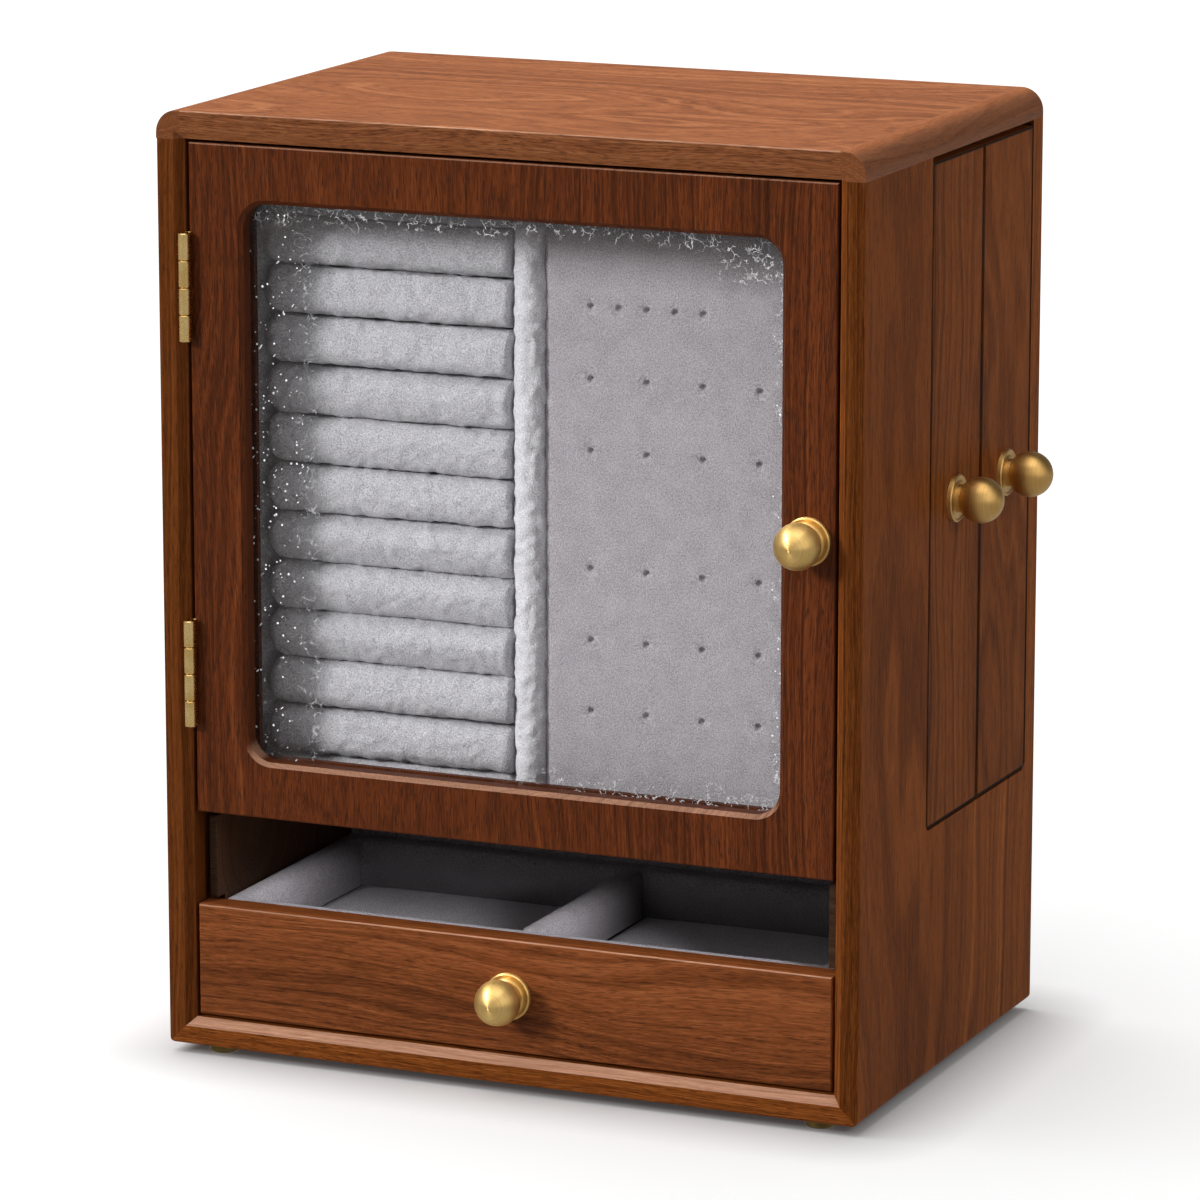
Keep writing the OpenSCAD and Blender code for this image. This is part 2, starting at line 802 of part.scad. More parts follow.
// Turns a knob to face the right
module on_pullout(i) {
  translate([carcass_w, pull_mid(i), pull_z0 + pull_knob_z]) rotate([0, 90, 0]) children();
}

// Door
module window_profile(grow) {
  eased_rect(win_x0 - grow, win_z0 - grow, win_x1 + grow, win_z1 + grow,
    window_r, window_r, window_r, window_r);
}

// The chamfer round the window: straight runs and cone corners
module window_chamfer_cut() {
  y0 = face_setback - over;
  y1 = face_setback + window_chamfer;
  g = window_chamfer + over;
  along_x(win_x0 + window_r, win_x1 - window_r)
    polygon([[y0, win_z0 - g], [y1, win_z0], [y1, win_z1], [y0, win_z1 + g]]);
  along_z(win_z0 + window_r, win_z1 - window_r)
    polygon([[win_x0 - g, y0], [win_x1 + g, y0], [win_x1, y1], [win_x0, y1]]);
  for (x = [win_x0 + window_r, win_x1 - window_r], z = [win_z0 + window_r, win_z1 - window_r])
    translate([x, y0, z]) rotate([-90, 0, 0]) cylinder(r1 = window_r + g, r2 = window_r, h = g);
}

module door_frame() {
  color(walnut) place() difference() {
    eased_front(door_x0, door_x1, face_setback, door_back, door_z0, door_z1, arris_r);
    along_y(face_setback - over, door_back + over) window_profile(0);
    window_chamfer_cut();
    box(win_x0 - rebate_w, win_x1 + rebate_w, glass_y, door_back + over,
      win_z0 - rebate_w, win_z1 + rebate_w);
    at_hinges() leaf_mortise();
    on_front(door_knob_x, door_knob_h) knob_hole(door_t);
    translate([catch_x, door_back + over, catch_z])
      rotate([90, 0, 0]) cylinder(d = strike_d, h = strike_t + over);
  }
}

module glass_pane() {
  edge = rebate_w - glass_clear;
  color(glass) place()
    box(win_x0 - edge, win_x1 + edge, glass_y, glass_y + glass_t, win_z0 - edge, win_z1 + edge);
}

// One glazing bead along a side of the given length, mitred at both ends
module bead(length) {
  polygon([[mitre_gap, 0], [length - mitre_gap, 0],
    [length - rebate_w - mitre_gap, rebate_w], [rebate_w + mitre_gap, rebate_w]]);
}

module glazing_beads() {
  w = win_x1 - win_x0 + 2 * rebate_w;
  h = win_z1 - win_z0 + 2 * rebate_w;
  color(walnut) place() along_y(bead_y, door_back)
    translate([win_x0 - rebate_w, win_z0 - rebate_w]) {
      bead(w);
      translate([w, h]) rotate(180) bead(w);
      translate([w, 0]) rotate(90) bead(h);
      translate([0, h]) rotate(-90) bead(h);
    }
}

module door_knob() {
  color(brass) place() on_front(door_knob_x, door_knob_h) knob();
}

module door_knob_screw() {
  color(steel) place() on_front(door_knob_x, door_knob_h) knob_screw(door_t);
}

// Drawer
module drawer_front() {
  color(walnut) place() difference() {
    eased_front(door_x0, door_x1, face_setback, drawer_front_back, drawer_z0, drawer_z1, arris_r);
    on_front(divider_x, (drawer_z0 + drawer_z1) / 2) knob_hole(drawer_front_t);
  }
}

module drawer_side_walls() {
  color(walnut) place() for (x = [box_x0, box_x1 - wall_t])
    box(x, x + wall_t, drawer_front_back, drawer_back, box_z0, rim_z - lining_cap);
}

// The box's front wall, glued to the drawer front, and its back wall
module drawer_cross_walls() {
  color(walnut) place()
    for (y = [[drawer_front_back, inner_front_y], [drawer_back - wall_t, drawer_back]])
      box(box_x0 + wall_t, box_x1 - wall_t, y[0], y[1], box_z0, rim_z - lining_cap);
}

module drawer_bottom() {
  color(walnut) place()
    box(box_x0 + wall_t, box_x1 - wall_t, inner_front_y, drawer_back - wall_t, box_z0, tray_floor);
}

// Section of the tray between two walls, with their rims rounded outwards
module tray_section(a0, a1) {
  translate([a0, tray_floor - over]) square([a1 - a0, rim_z - tray_floor + 2 * over]);
  corner_waste(a0, rim_z, -1, -1, rim_r);
  corner_waste(a1, rim_z, 1, -1, rim_r);
}

// Padded velvet on the inside of the walls and over their rims
module drawer_lining() {
  color(velvet) place() difference() {
    union() {
      box(box_x0 + wall_t, box_x1 - wall_t, inner_front_y, drawer_back - wall_t, tray_floor, rim_z);
      box(box_x0, box_x1, drawer_front_back, drawer_back, rim_z - lining_cap, rim_z);
    }
    intersection() {
      along_y(tray_y0 - rim_r, tray_y1 + rim_r) tray_section(tray_x0, tray_x1);
      along_x(tray_x0 - rim_r, tray_x1 + rim_r) tray_section(tray_y0, tray_y1);
    }
  }
}

// One padded floor with its upper edges rounded over the foam
module drawer_pad(x0, x1) {
  y0 = tray_y0 + pad_gap;
  y1 = tray_y1 - pad_gap;
  z1 = tray_floor + pad_t;
  intersection() {
    along_y(y0, y1) eased_rect(x0, tray_floor, x1, z1, r11 = pad_edge_r, r01 = pad_edge_r);
    along_x(x0, x1) eased_rect(y0, tray_floor, y1, z1, r11 = pad_edge_r, r01 = pad_edge_r);
  }
}

module drawer_pads() {
  half = divider_w / 2 + pad_gap;
  color(velvet) place() {
    drawer_pad(tray_x0 + pad_gap, divider_x - half);
    drawer_pad(divider_x + half, tray_x1 - pad_gap);
  }
}

module drawer_divider() {
  color(velvet) place() along_y(tray_y0, tray_y1)
    eased_rect(divider_x - divider_w / 2, tray_floor, divider_x + divider_w / 2, rim_z,
      r11 = divider_top_r, r01 = divider_top_r);
}

module drawer_knob() {
  color(brass) place() on_front(divider_x, (drawer_z0 + drawer_z1) / 2) knob();
}

module drawer_knob_screw() {
  color(steel) place() on_front(divider_x, (drawer_z0 + drawer_z1) / 2) knob_screw(drawer_front_t);
}

// Pull-outs
// Strips that leave a groove for each frame between the partition and the back
module guide_strips(z0) {
  half = frame_t / 2 + run_gap;
  edges = [[partition_back, pull_mid(0) - half], [pull_mid(0) + half, pull_mid(1) - half],
    [pull_mid(1) + half, in_back]];
  for (y = edges) box(in_x0, in_x1 - run_gap, y[0], y[1], z0, z0 + guide_h);
}

module pullout_guides() {
  color(walnut) place() {
    guide_strips(shelf_z);
    guide_strips(under_top - guide_h);
  }
}

module pullout_front(i) {
  y = pull_y0(i);
  inner_r = pull_corner_r - pull_slit;
  color(walnut) place() difference() {
    along_x(in_x1, carcass_w) eased_rect(y, pull_z0, y + pull_front_w, pull_z1,
      r00 = i == 0 ? inner_r : 0, r10 = i == 1 ? inner_r : 0);
    on_pullout(i) knob_hole(side_t);
  }
}

module pullout_frame(i) {
  y = pull_mid(i);
  r = frame_corner_r;
  color(walnut) place() difference() {
    along_y(y - frame_t / 2, y + frame_t / 2) difference() {
      translate([frame_x0, frame_z0]) square([in_x1 - frame_x0, frame_z1 - frame_z0]);
      eased_rect(frame_x0 + frame_post_w, frame_z0 + frame_rail_h,
        in_x1 - frame_post_w, frame_z1 - frame_rail_h, r, r, r, r);
    }
    at_hooks(i) cylinder(d = hook_d + 2 * hook_hole_clear, h = hook_seat + hook_hole_clear);
  }
}

// Hook places along the underside of the frame's upper rail
module at_hooks(i) {
  for (k = [0:hook_count - 1])
    translate([hook_x0 + k * hook_pitch, pull_mid(i), frame_z1 - frame_rail_h]) children();
}

// One hook: a shank that hangs from the rail, a half-round bend to the front and a ball tip
module hook() {
  translate([0, 0, -hook_drop]) cylinder(d = hook_d, h = hook_drop + hook_seat);
  translate([0, -hook_r, -hook_drop]) rotate([0, 90, 0]) rotate([0, 0, -90])
    rotate_extrude(angle = 180) translate([hook_r, 0]) circle(d = hook_d);
  translate([0, -2 * hook_r, -hook_drop]) sphere(hook_tip_r);
}

module pullout_hooks(i) {
  color(brass) place() at_hooks(i) hook();
}

module pullout_knob(i) {
  color(brass) place() on_pullout(i) knob();
}

module pullout_screw(i) {
  color(steel) place() on_pullout(i) knob_screw(side_t);
}

top_panel();
top_lippings();
left_side();
right_side();
bottom_panel();
back_panel();
shelf();
partition();
bay_back();
drawer_guides();
feet();
ring_board();
ring_border();
for (i = [0:ROLLS - 1]) ring_roll(i);
centre_bolster();
earring_board();
hinge_frame_leaves();
hinge_pins();
hinge_frame_screws();
catch_block();
catch_magnet();
pullout_guides();
door_frame();
glass_pane();
glazing_beads();
hinge_door_leaves();
hinge_door_screws();
strike_plate();
door_knob();
door_knob_screw();
drawer_front();
drawer_side_walls();
drawer_cross_walls();
drawer_bottom();
drawer_lining();
drawer_pads();
drawer_divider();
drawer_knob();
drawer_knob_screw();
for (i = [0, 1]) {
  pullout_front(i);
  pullout_frame(i);
  pullout_hooks(i);
  pullout_knob(i);
  pullout_screw(i);
}
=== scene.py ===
"""Looks of the walnut jewellery cabinet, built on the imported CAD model.

Walnut, brass and glass are finishes on the CAD nodes. Every padded piece is a new mesh:
its plain CAD solid is remeshed or redrawn, and all but the earring panel are blown up by
cloth pressure. Velvet covers them.
Places are in metres in the part's own frame; at() takes millimetres from the lower left
front corner of the carcass.
"""

import json
import math

import bmesh
import bpy
import numpy as np
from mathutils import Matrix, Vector, noise

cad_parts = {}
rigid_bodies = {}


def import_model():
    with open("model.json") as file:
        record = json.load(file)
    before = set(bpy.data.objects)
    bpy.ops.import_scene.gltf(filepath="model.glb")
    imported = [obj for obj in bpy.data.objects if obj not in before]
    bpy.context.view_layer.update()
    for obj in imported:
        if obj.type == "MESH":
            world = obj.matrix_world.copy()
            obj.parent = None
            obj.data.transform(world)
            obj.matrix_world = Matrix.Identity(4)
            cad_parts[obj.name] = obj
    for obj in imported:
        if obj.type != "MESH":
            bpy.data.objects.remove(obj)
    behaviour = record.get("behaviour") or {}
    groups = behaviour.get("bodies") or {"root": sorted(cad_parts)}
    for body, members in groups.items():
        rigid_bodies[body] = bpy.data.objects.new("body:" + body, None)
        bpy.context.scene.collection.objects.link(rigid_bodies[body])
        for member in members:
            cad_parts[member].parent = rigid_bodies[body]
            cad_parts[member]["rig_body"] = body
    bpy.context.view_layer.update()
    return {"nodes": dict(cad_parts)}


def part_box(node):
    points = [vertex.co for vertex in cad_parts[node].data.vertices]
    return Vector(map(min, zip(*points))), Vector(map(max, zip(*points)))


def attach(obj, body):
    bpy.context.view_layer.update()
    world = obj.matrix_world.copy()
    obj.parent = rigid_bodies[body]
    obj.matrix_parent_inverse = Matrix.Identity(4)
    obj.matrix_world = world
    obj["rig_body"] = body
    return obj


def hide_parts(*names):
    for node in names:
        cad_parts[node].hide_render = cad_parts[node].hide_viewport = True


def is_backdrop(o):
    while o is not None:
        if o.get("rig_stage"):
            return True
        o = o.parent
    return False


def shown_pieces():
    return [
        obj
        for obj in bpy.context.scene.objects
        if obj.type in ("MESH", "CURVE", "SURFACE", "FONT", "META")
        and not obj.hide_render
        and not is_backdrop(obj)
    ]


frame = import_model()
nodes = frame["nodes"]

MM = 0.001
SEED = 7
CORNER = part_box("left_side")[0]
ROLLS = [f"ring_roll_{i:02d}" for i in range(1, 13)]


def at(x, y, z):
    """A point given in millimetres from the lower left front corner of the carcass."""
    return CORNER + Vector((x, y, z)) * MM


def limits(node):
    """Lowest and highest corner of a CAD node, in millimetres from the carcass corner."""
    low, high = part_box(node)
    return (low - CORNER) / MM, (high - CORNER) / MM


# Shader building

def srgb(code, alpha=1.0):
    """A colour written as sRGB hex, in the linear values that Blender works with."""
    parts = [int(code[i : i + 2], 16) / 255 for i in (1, 3, 5)]
    linear = [c / 12.92 if c <= 0.04045 else ((c + 0.055) / 1.055) ** 2.4 for c in parts]
    return (*linear, alpha)


def add(tree, kind, inputs=(), stops=(), **settings):
    """Adds a node with its settings, and with a value or a link on each input. Inputs are a
    dict, or the first ones in order. A node given as an input stands for its first output.
    Stops are a colour ramp's (place, hex) pairs."""
    node = tree.nodes.new(kind)
    for name, value in settings.items():
        setattr(node, name, value)
    given = inputs if isinstance(inputs, dict) else dict(enumerate(inputs))
    for key, value in given.items():
        if isinstance(value, bpy.types.Node):
            value = value.outputs[0]
        if isinstance(value, bpy.types.NodeSocket):
            tree.links.new(value, node.inputs[key])
        else:
            node.inputs[key].default_value = value
    if stops:
        elements = node.color_ramp.elements
        while len(elements) < len(stops):
            elements.new(0.5)
        for element, (place, code) in zip(elements, stops):
            element.position = place
            element.color = srgb(code)
    return node


# Settings of a map range that eases between its two ends and stays inside them
SMOOTH = {"interpolation_type": "SMOOTHSTEP"}


def shade_tree(name):
    """A new material with an empty tree."""
    material = bpy.data.materials.new(name)
    material.use_nodes = True
    material.node_tree.nodes.clear()
    return material, material.node_tree


def finish_shader(tree, inputs):
    """Ends a tree in a Principled shader with the given inputs and returns that shader."""
    shader = add(tree, "ShaderNodeBsdfPrincipled", inputs)
    add(tree, "ShaderNodeOutputMaterial", {"Surface": shader.outputs[0]})
    return shader


def millimetres(tree, turn=(0, 0, 0), shift=(0, 0, 0)):
    """Object coordinates in millimetres, turned and moved so that a pattern lies along a piece."""
    coords = add(tree, "ShaderNodeTexCoord")
    return add(tree, "ShaderNodeMapping", {
        "Vector": coords.outputs["Object"], "Rotation": turn, "Location": shift,
        "Scale": (1 / MM,) * 3})


# Walnut

GRAIN_TURN = {"x": (0, math.radians(-90), 0), "y": (math.radians(90), 0, 0), "z": (0, 0, 0)}


def walnut(name, grain, heart, stops, ring=3.4, wander=13.0, pore=0.5, front=1.0, flank=1.0,
           contrast=1.4, lacquer=0.08, highlight=0.9, joints=()):
    """Black walnut, oiled and satin lacquered: brown figure that follows the growth rings of a
    log round the point heart, fine dark pores along the grain, and a painted highlight on its
    upper arrises and bevels, as strong as highlight. Ring and wander are millimetres: from
    one growth ring to the next, and how far the log's bends push them. Front and flank are
    painted shade: how light the faces towards the front and the sides are drawn, beside the
    others. Joints are (axis, place) in millimetres of gaps, beside which the edges get
    painted shade."""
    material, tree = shade_tree(name)
    place = millimetres(tree, GRAIN_TURN[grain], (heart[0], heart[1], 0))
    # The trunk's slow bends and the quicker ones of its fibres push the rings about. Their
    # extent is in millimetres, across the grain both ways and along it.
    moved = place
    for extent, detail, size in (((75, 75, 240), 2.0, wander), ((9, 9, 80), 3.0, wander * 0.08)):
        coords = add(tree, "ShaderNodeVectorMath", (place, extent), operation="DIVIDE")
        bend = add(tree, "ShaderNodeTexNoise", {"Vector": coords, "Scale": 1.0, "Detail": detail})
        centred = add(tree, "ShaderNodeVectorMath", (bend.outputs["Color"], (0.5, 0.5, 0.5)),
                      operation="SUBTRACT")
        push = add(tree, "ShaderNodeVectorMath", (centred, (size * 2, size * 2, 0)),
                   operation="MULTIPLY")
        moved = add(tree, "ShaderNodeVectorMath", (moved, push))
    flat = add(tree, "ShaderNodeVectorMath", (moved, (1, 1, 0.035)), operation="MULTIPLY")
    radius = add(tree, "ShaderNodeVectorMath", (flat,), operation="LENGTH").outputs["Value"]
    # Growth rings, the fine lines in them and zones of several years, by size in millimetres
    by_size = []
    for size, detail, rough in ((ring, 4.0, 0.68), (0.75, 1.0, 0.5), (ring * 5.5, 1.0, 0.5)):
        along = add(tree, "ShaderNodeMath", (radius, size), operation="DIVIDE")
        by_size.append(add(tree, "ShaderNodeTexNoise", {
            "W": along, "Scale": 1.0, "Detail": detail, "Roughness": rough},
            noise_dimensions="1D"))
    rings, lines, zones = by_size
    coords = add(tree, "ShaderNodeVectorMath", (moved, (0.75, 0.75, 18)), operation="DIVIDE")
    fibres = add(tree, "ShaderNodeTexNoise", {
        "Vector": coords, "Scale": 1.0, "Detail": 3.0, "Roughness": 0.95})
    # Pores are 0.2 mm wide in the tree; drawn wider so that they show
    coords = add(tree, "ShaderNodeVectorMath", (moved, (0.36, 0.36, 5.5)), operation="DIVIDE")
    pores = add(tree, "ShaderNodeTexNoise", {"Vector": coords, "Scale": 1.0, "Detail": 1.0})
    pores = add(tree, "ShaderNodeMapRange", (pores, 0.55, 0.63), **SMOOTH)
    tone = add(tree, "ShaderNodeMath", (rings, 0.24), operation="MULTIPLY")
    for pattern, share in ((zones, 0.12), (lines, 0.20), (fibres, 0.44)):
        part = add(tree, "ShaderNodeMath", (pattern, share), operation="MULTIPLY")
        tone = add(tree, "ShaderNodeMath", (tone, part), operation="ADD")
    # Contrast pulls the tone away from a half
    tone = add(tree, "ShaderNodeMath", (tone, contrast, 0.5 - 0.5 * contrast),
               operation="MULTIPLY_ADD")
    colour = add(tree, "ShaderNodeValToRGB", (tone,), stops=stops)
    depth = add(tree, "ShaderNodeMath", (pores, pore), operation="MULTIPLY")
    darkened = add(tree, "ShaderNodeMix", {0: depth, 6: colour, 7: srgb("#2A150B")},
                   data_type="RGBA").outputs[2]
    facing = add(tree, "ShaderNodeNewGeometry").outputs["Normal"]
    normal = add(tree, "ShaderNodeSeparateXYZ", (facing,)).outputs
    forward = add(tree, "ShaderNodeMath", (normal[1], -1), operation="MULTIPLY")
    sideways = add(tree, "ShaderNodeMath", (normal[0],), operation="ABSOLUTE")
    # Painted shade: faces towards the front are drawn darker by front, and faces towards the sides
    # by flank
    on_front = add(tree, "ShaderNodeMapRange", (forward, 0.5, 0.9, 1.0, front), **SMOOTH)
    on_flank = add(tree, "ShaderNodeMapRange", (sideways, 0.3, 0.9, 1.0, flank), **SMOOTH)
    shade = add(tree, "ShaderNodeMath", (on_front, on_flank), operation="MULTIPLY")
    dimmed = add(tree, "ShaderNodeVectorMath", {0: darkened, "Scale": shade}, operation="SCALE")
    # Painted highlight: bevels and round arrises that look upwards at an angle are drawn pale, as if
    # an overhead lamp shone on them
    tilted = add(tree, "ShaderNodeMapRange", (normal[2], 0.2, 0.6, 0.0, highlight), **SMOOTH)
    not_level = add(tree, "ShaderNodeMapRange", (normal[2], 0.80, 0.95, 1.0, 0.0), **SMOOTH)
    highlight_mask = add(tree, "ShaderNodeMath", (tilted, not_level), operation="MULTIPLY")
    pale = add(tree, "ShaderNodeValToRGB", (tone,), stops=[(0.3, "#7C5540"), (0.7, "#BF9379")])
    with_painted_light = add(tree, "ShaderNodeMix", {0: highlight_mask, 6: dimmed, 7: pale},
               data_type="RGBA").outputs[2]
    # Painted shade: within about a millimetre of each gap the faces that look sideways are drawn
    # nearly black, as the gap's shade
    if joints:
        spot = add(tree, "ShaderNodeSeparateXYZ", (millimetres(tree),)).outputs
        outer = add(tree, "ShaderNodeMapRange", (sideways, 0.5, 0.9), **SMOOTH)
        for axis, line in joints:
            off = add(tree, "ShaderNodeMath", (spot[axis], line), operation="SUBTRACT")
            off = add(tree, "ShaderNodeMath", (off,), operation="ABSOLUTE")
            gap_shade = add(tree, "ShaderNodeMapRange", (off, 0.5, 1.1, 0.92, 0.0), **SMOOTH)
            gap_shade = add(tree, "ShaderNodeMath", (gap_shade, outer), operation="MULTIPLY")
            with_painted_light = add(tree, "ShaderNodeMix", {0: gap_shade, 6: with_painted_light, 7: srgb("#120905")},
                       data_type="RGBA").outputs[2]
    roughness = add(tree, "ShaderNodeMapRange", (fibres, 0.25, 0.75, 0.37, 0.50), **SMOOTH)
    height = add(tree, "ShaderNodeMath", (fibres, 0.35), operation="MULTIPLY")
    height = add(tree, "ShaderNodeMath", (height, pores), operation="SUBTRACT")
    bump = add(tree, "ShaderNodeBump", {
        "Height": height, "Strength": 0.22, "Distance": 0.12 * MM})
    shader = finish_shader(tree, {"Base Color": with_painted_light, "Roughness": roughness, "Normal": bump})
    shader.inputs["Specular IOR Level"].default_value = lacquer
    return material


TOP_STOPS = [(0.30, "#6D3B1F"), (0.44, "#925530"), (0.56, "#A8663D"), (0.70, "#BA794E")]
DOOR_STOPS = [(0.30, "#291205"), (0.44, "#431E0A"), (0.56, "#572910"), (0.70, "#6A3718")]
SIDE_STOPS = [(0.30, "#4C260E"), (0.44, "#6E3A18"), (0.56, "#864A1F"), (0.70, "#9D5E2E")]
PULL_STOPS = [(0.30, "#45220D"), (0.44, "#653516"), (0.56, "#7B431D"), (0.70, "#91552B")]
DRAWER_STOPS = [(0.30, "#482410"), (0.44, "#713C1B"), (0.56, "#8F4F29"), (0.70, "#A76438")]
INNER_STOPS = [(0.30, "#3C2719"), (0.48, "#573A28"), (0.70, "#6E513C")]
# The gaps round the two pull-out fronts
JOINTS = [(axis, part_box(f"pullout_{k}_front")[end][axis] / MM)
          for k in (1, 2) for axis in (1, 2) for end in (0, 1)]

# In these finishes front and flank are painted shade on the faces that look forwards or sideways.
# The drawer's stops are drawn lighter and its front darker, so that its upper faces show lighter, as
# painted light.
walnut_top = walnut("walnut_flat_sawn_top", "x", (20, 46), TOP_STOPS, ring=3.6, wander=18,
                    front=0.44, contrast=1.8)
walnut_lipping = walnut("walnut_lipping", "y", (30, 60), TOP_STOPS, ring=2.6, front=0.42,
                        flank=0.5, contrast=1.1, pore=0.3, highlight=0.1)
walnut_side = walnut("walnut_quarter_sawn_side", "z", (200, 30), SIDE_STOPS, ring=2.6, wander=7,
                     front=0.44, contrast=1.4, pore=0.35, lacquer=0.015)
# Painted shade: the left side is drawn in the pull-out fronts' darker stops, because the lamps light
# it more than the right side
walnut_left = walnut("walnut_quarter_sawn_left", "z", (60, 30), PULL_STOPS, ring=2.6, wander=9,
                     front=0.56, flank=0.8, contrast=1.1, pore=0.35, lacquer=0.015)
walnut_back = walnut("walnut_back_panel", "z", (70, 40), PULL_STOPS, ring=3.2, wander=16,
                     contrast=1.3, lacquer=0.015)
walnut_pull = walnut("walnut_pullout_front", "z", (215, -60), PULL_STOPS, ring=2.4, wander=7,
                     contrast=1.6, pore=0.35, lacquer=0.015, joints=JOINTS)
walnut_bottom = walnut("walnut_bottom", "x", (60, 80), SIDE_STOPS, ring=2.4, front=0.75,
                       lacquer=0.015)
walnut_door = walnut("walnut_door", "z", (60, -70), DOOR_STOPS, ring=2.6, wander=12, contrast=1.3,
                     pore=0.7, highlight=0.65)
walnut_drawer = walnut("walnut_drawer", "x", (90, -60), DRAWER_STOPS, ring=1.9, wander=10, pore=0.4,
                       front=0.62)
walnut_inner = walnut("walnut_inside", "x", (70, 40), INNER_STOPS, ring=3.5)
walnut_liner = walnut("walnut_drawer_liner", "x", (70, 40), INNER_STOPS, ring=3.5, front=0.35)
walnut_inner_z = walnut("walnut_inside_upright", "z", (70, 40), INNER_STOPS, ring=3.5)


# Velvet, brass, steel and glass

def velvet(name, deep, pale, seams=None, depth=None):
    """Cotton velvet: matt, a fine speckle of pile tips, cloudy patches where the pile leans
    another way, and a pale sheen at grazing angles. Seams is the height of one seam and the
    distance between two, in millimetres, where the crease between rolls gets painted shade.
    Depth is two heights: from the upper one down to the lower one the velvet is drawn darker,
    as painted shade."""
    material, tree = shade_tree(name)
    place = millimetres(tree)
    # Pile tips are finer than the picture shows, so they are drawn as half-millimetre grains
    tips = add(tree, "ShaderNodeTexNoise", {"Vector": place, "Scale": 1 / 0.5, "Detail": 2.0})
    clouds = add(tree, "ShaderNodeTexNoise", {"Vector": place, "Scale": 1 / 7, "Detail": 3.0})
    tone = add(tree, "ShaderNodeMath", (
        add(tree, "ShaderNodeMath", (tips, 0.85), operation="MULTIPLY"),
        add(tree, "ShaderNodeMath", (clouds, 0.15), operation="MULTIPLY")), operation="ADD")
    colour = add(tree, "ShaderNodeValToRGB", (tone,), stops=[(0.31, deep), (0.69, pale)])
    painted_shades = []
    if seams:
        height = add(tree, "ShaderNodeSeparateXYZ", (place,)).outputs[2]
        wave = add(tree, "ShaderNodeTexNoise", {"Vector": place, "Scale": 1 / 3.4, "Detail": 2.0})
        wave = add(tree, "ShaderNodeMath", (wave, 1.6), operation="MULTIPLY")
        height = add(tree, "ShaderNodeMath", (height, wave), operation="ADD")
        # The wave lifts the height by 0.8 mm on average
        above = add(tree, "ShaderNodeMath", (height, seams[0] + 0.8), operation="SUBTRACT")
        turns = add(tree, "ShaderNodeMath", (above, seams[1]), operation="DIVIDE")
        near = add(tree, "ShaderNodeMath", (turns, 0.5), operation="PINGPONG")
        # Painted shade in the crease where two rolls meet
        painted_shades.append(((near, 0.0, 0.035, 0.6, 0.0), "#57504E"))
        # Painted shade: the lower half of each roll is drawn darker, most near the seam below it
        above = add(tree, "ShaderNodeMath", (turns,), operation="FRACT")
        painted_shades.append(((above, 0.0, 0.5, 0.16, 0.0), "#6F6B6B"))
    # Painted shade: lower in the tray the velvet is drawn darker, where less light reaches
    if depth:
        height = add(tree, "ShaderNodeSeparateXYZ", (place,)).outputs[2]
        painted_shades.append(((height, *depth, 0.75, 0.0), "#3E3A3C"))
    for reach, code in painted_shades:
        share = add(tree, "ShaderNodeMapRange", reach, **SMOOTH)
        colour = add(tree, "ShaderNodeMix", {0: share, 6: colour, 7: srgb(code)},
                     data_type="RGBA").outputs[2]
    bump = add(tree, "ShaderNodeBump", {
        "Height": tips, "Strength": 0.8, "Distance": 0.6 * MM})
    shader = finish_shader(tree, {"Base Color": colour, "Normal": bump})
    shader.inputs["Roughness"].default_value = 0.95
    shader.inputs["Specular IOR Level"].default_value = 0.1
    shader.inputs["Sheen Weight"].default_value = 0.35
    shader.inputs["Sheen Roughness"].default_value = 0.45
    shader.inputs["Sheen Tint"].default_value = srgb("#E4E4EA")
    return material


ROLL_PITCH = (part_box(ROLLS[1])[0].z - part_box(ROLLS[0])[0].z) / MM
LOWEST_SEAM = (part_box(ROLLS[0])[0].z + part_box(ROLLS[0])[1].z) / MM / 2 - ROLL_PITCH / 2
# One silver-grey velvet covers all the padding: the bolster's copy is drawn paler as painted light,
# and the earring board's and the drawer's copies darker as painted shade.
velvet_grey = velvet("velvet_silver_grey", "#98979B", "#DDDCE0")
velvet_rolls = velvet("velvet_ring_rolls", "#98979B", "#DDDCE0", seams=(LOWEST_SEAM, ROLL_PITCH))
velvet_bolster = velvet("velvet_bolster", "#B7B6BA", "#F0EFF3")
velvet_board = velvet("velvet_board_grey", "#878387", "#C3BEC2")
velvet_tray = velvet("velvet_drawer_grey", "#827D82", "#BFB9BF")
TRAY_DEPTH = (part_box("drawer_bottom")[1].z / MM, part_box("drawer_lining")[1].z / MM - 1)
velvet_lining = velvet("velvet_drawer_walls", "#827D82", "#BFB9BF", depth=TRAY_DEPTH)


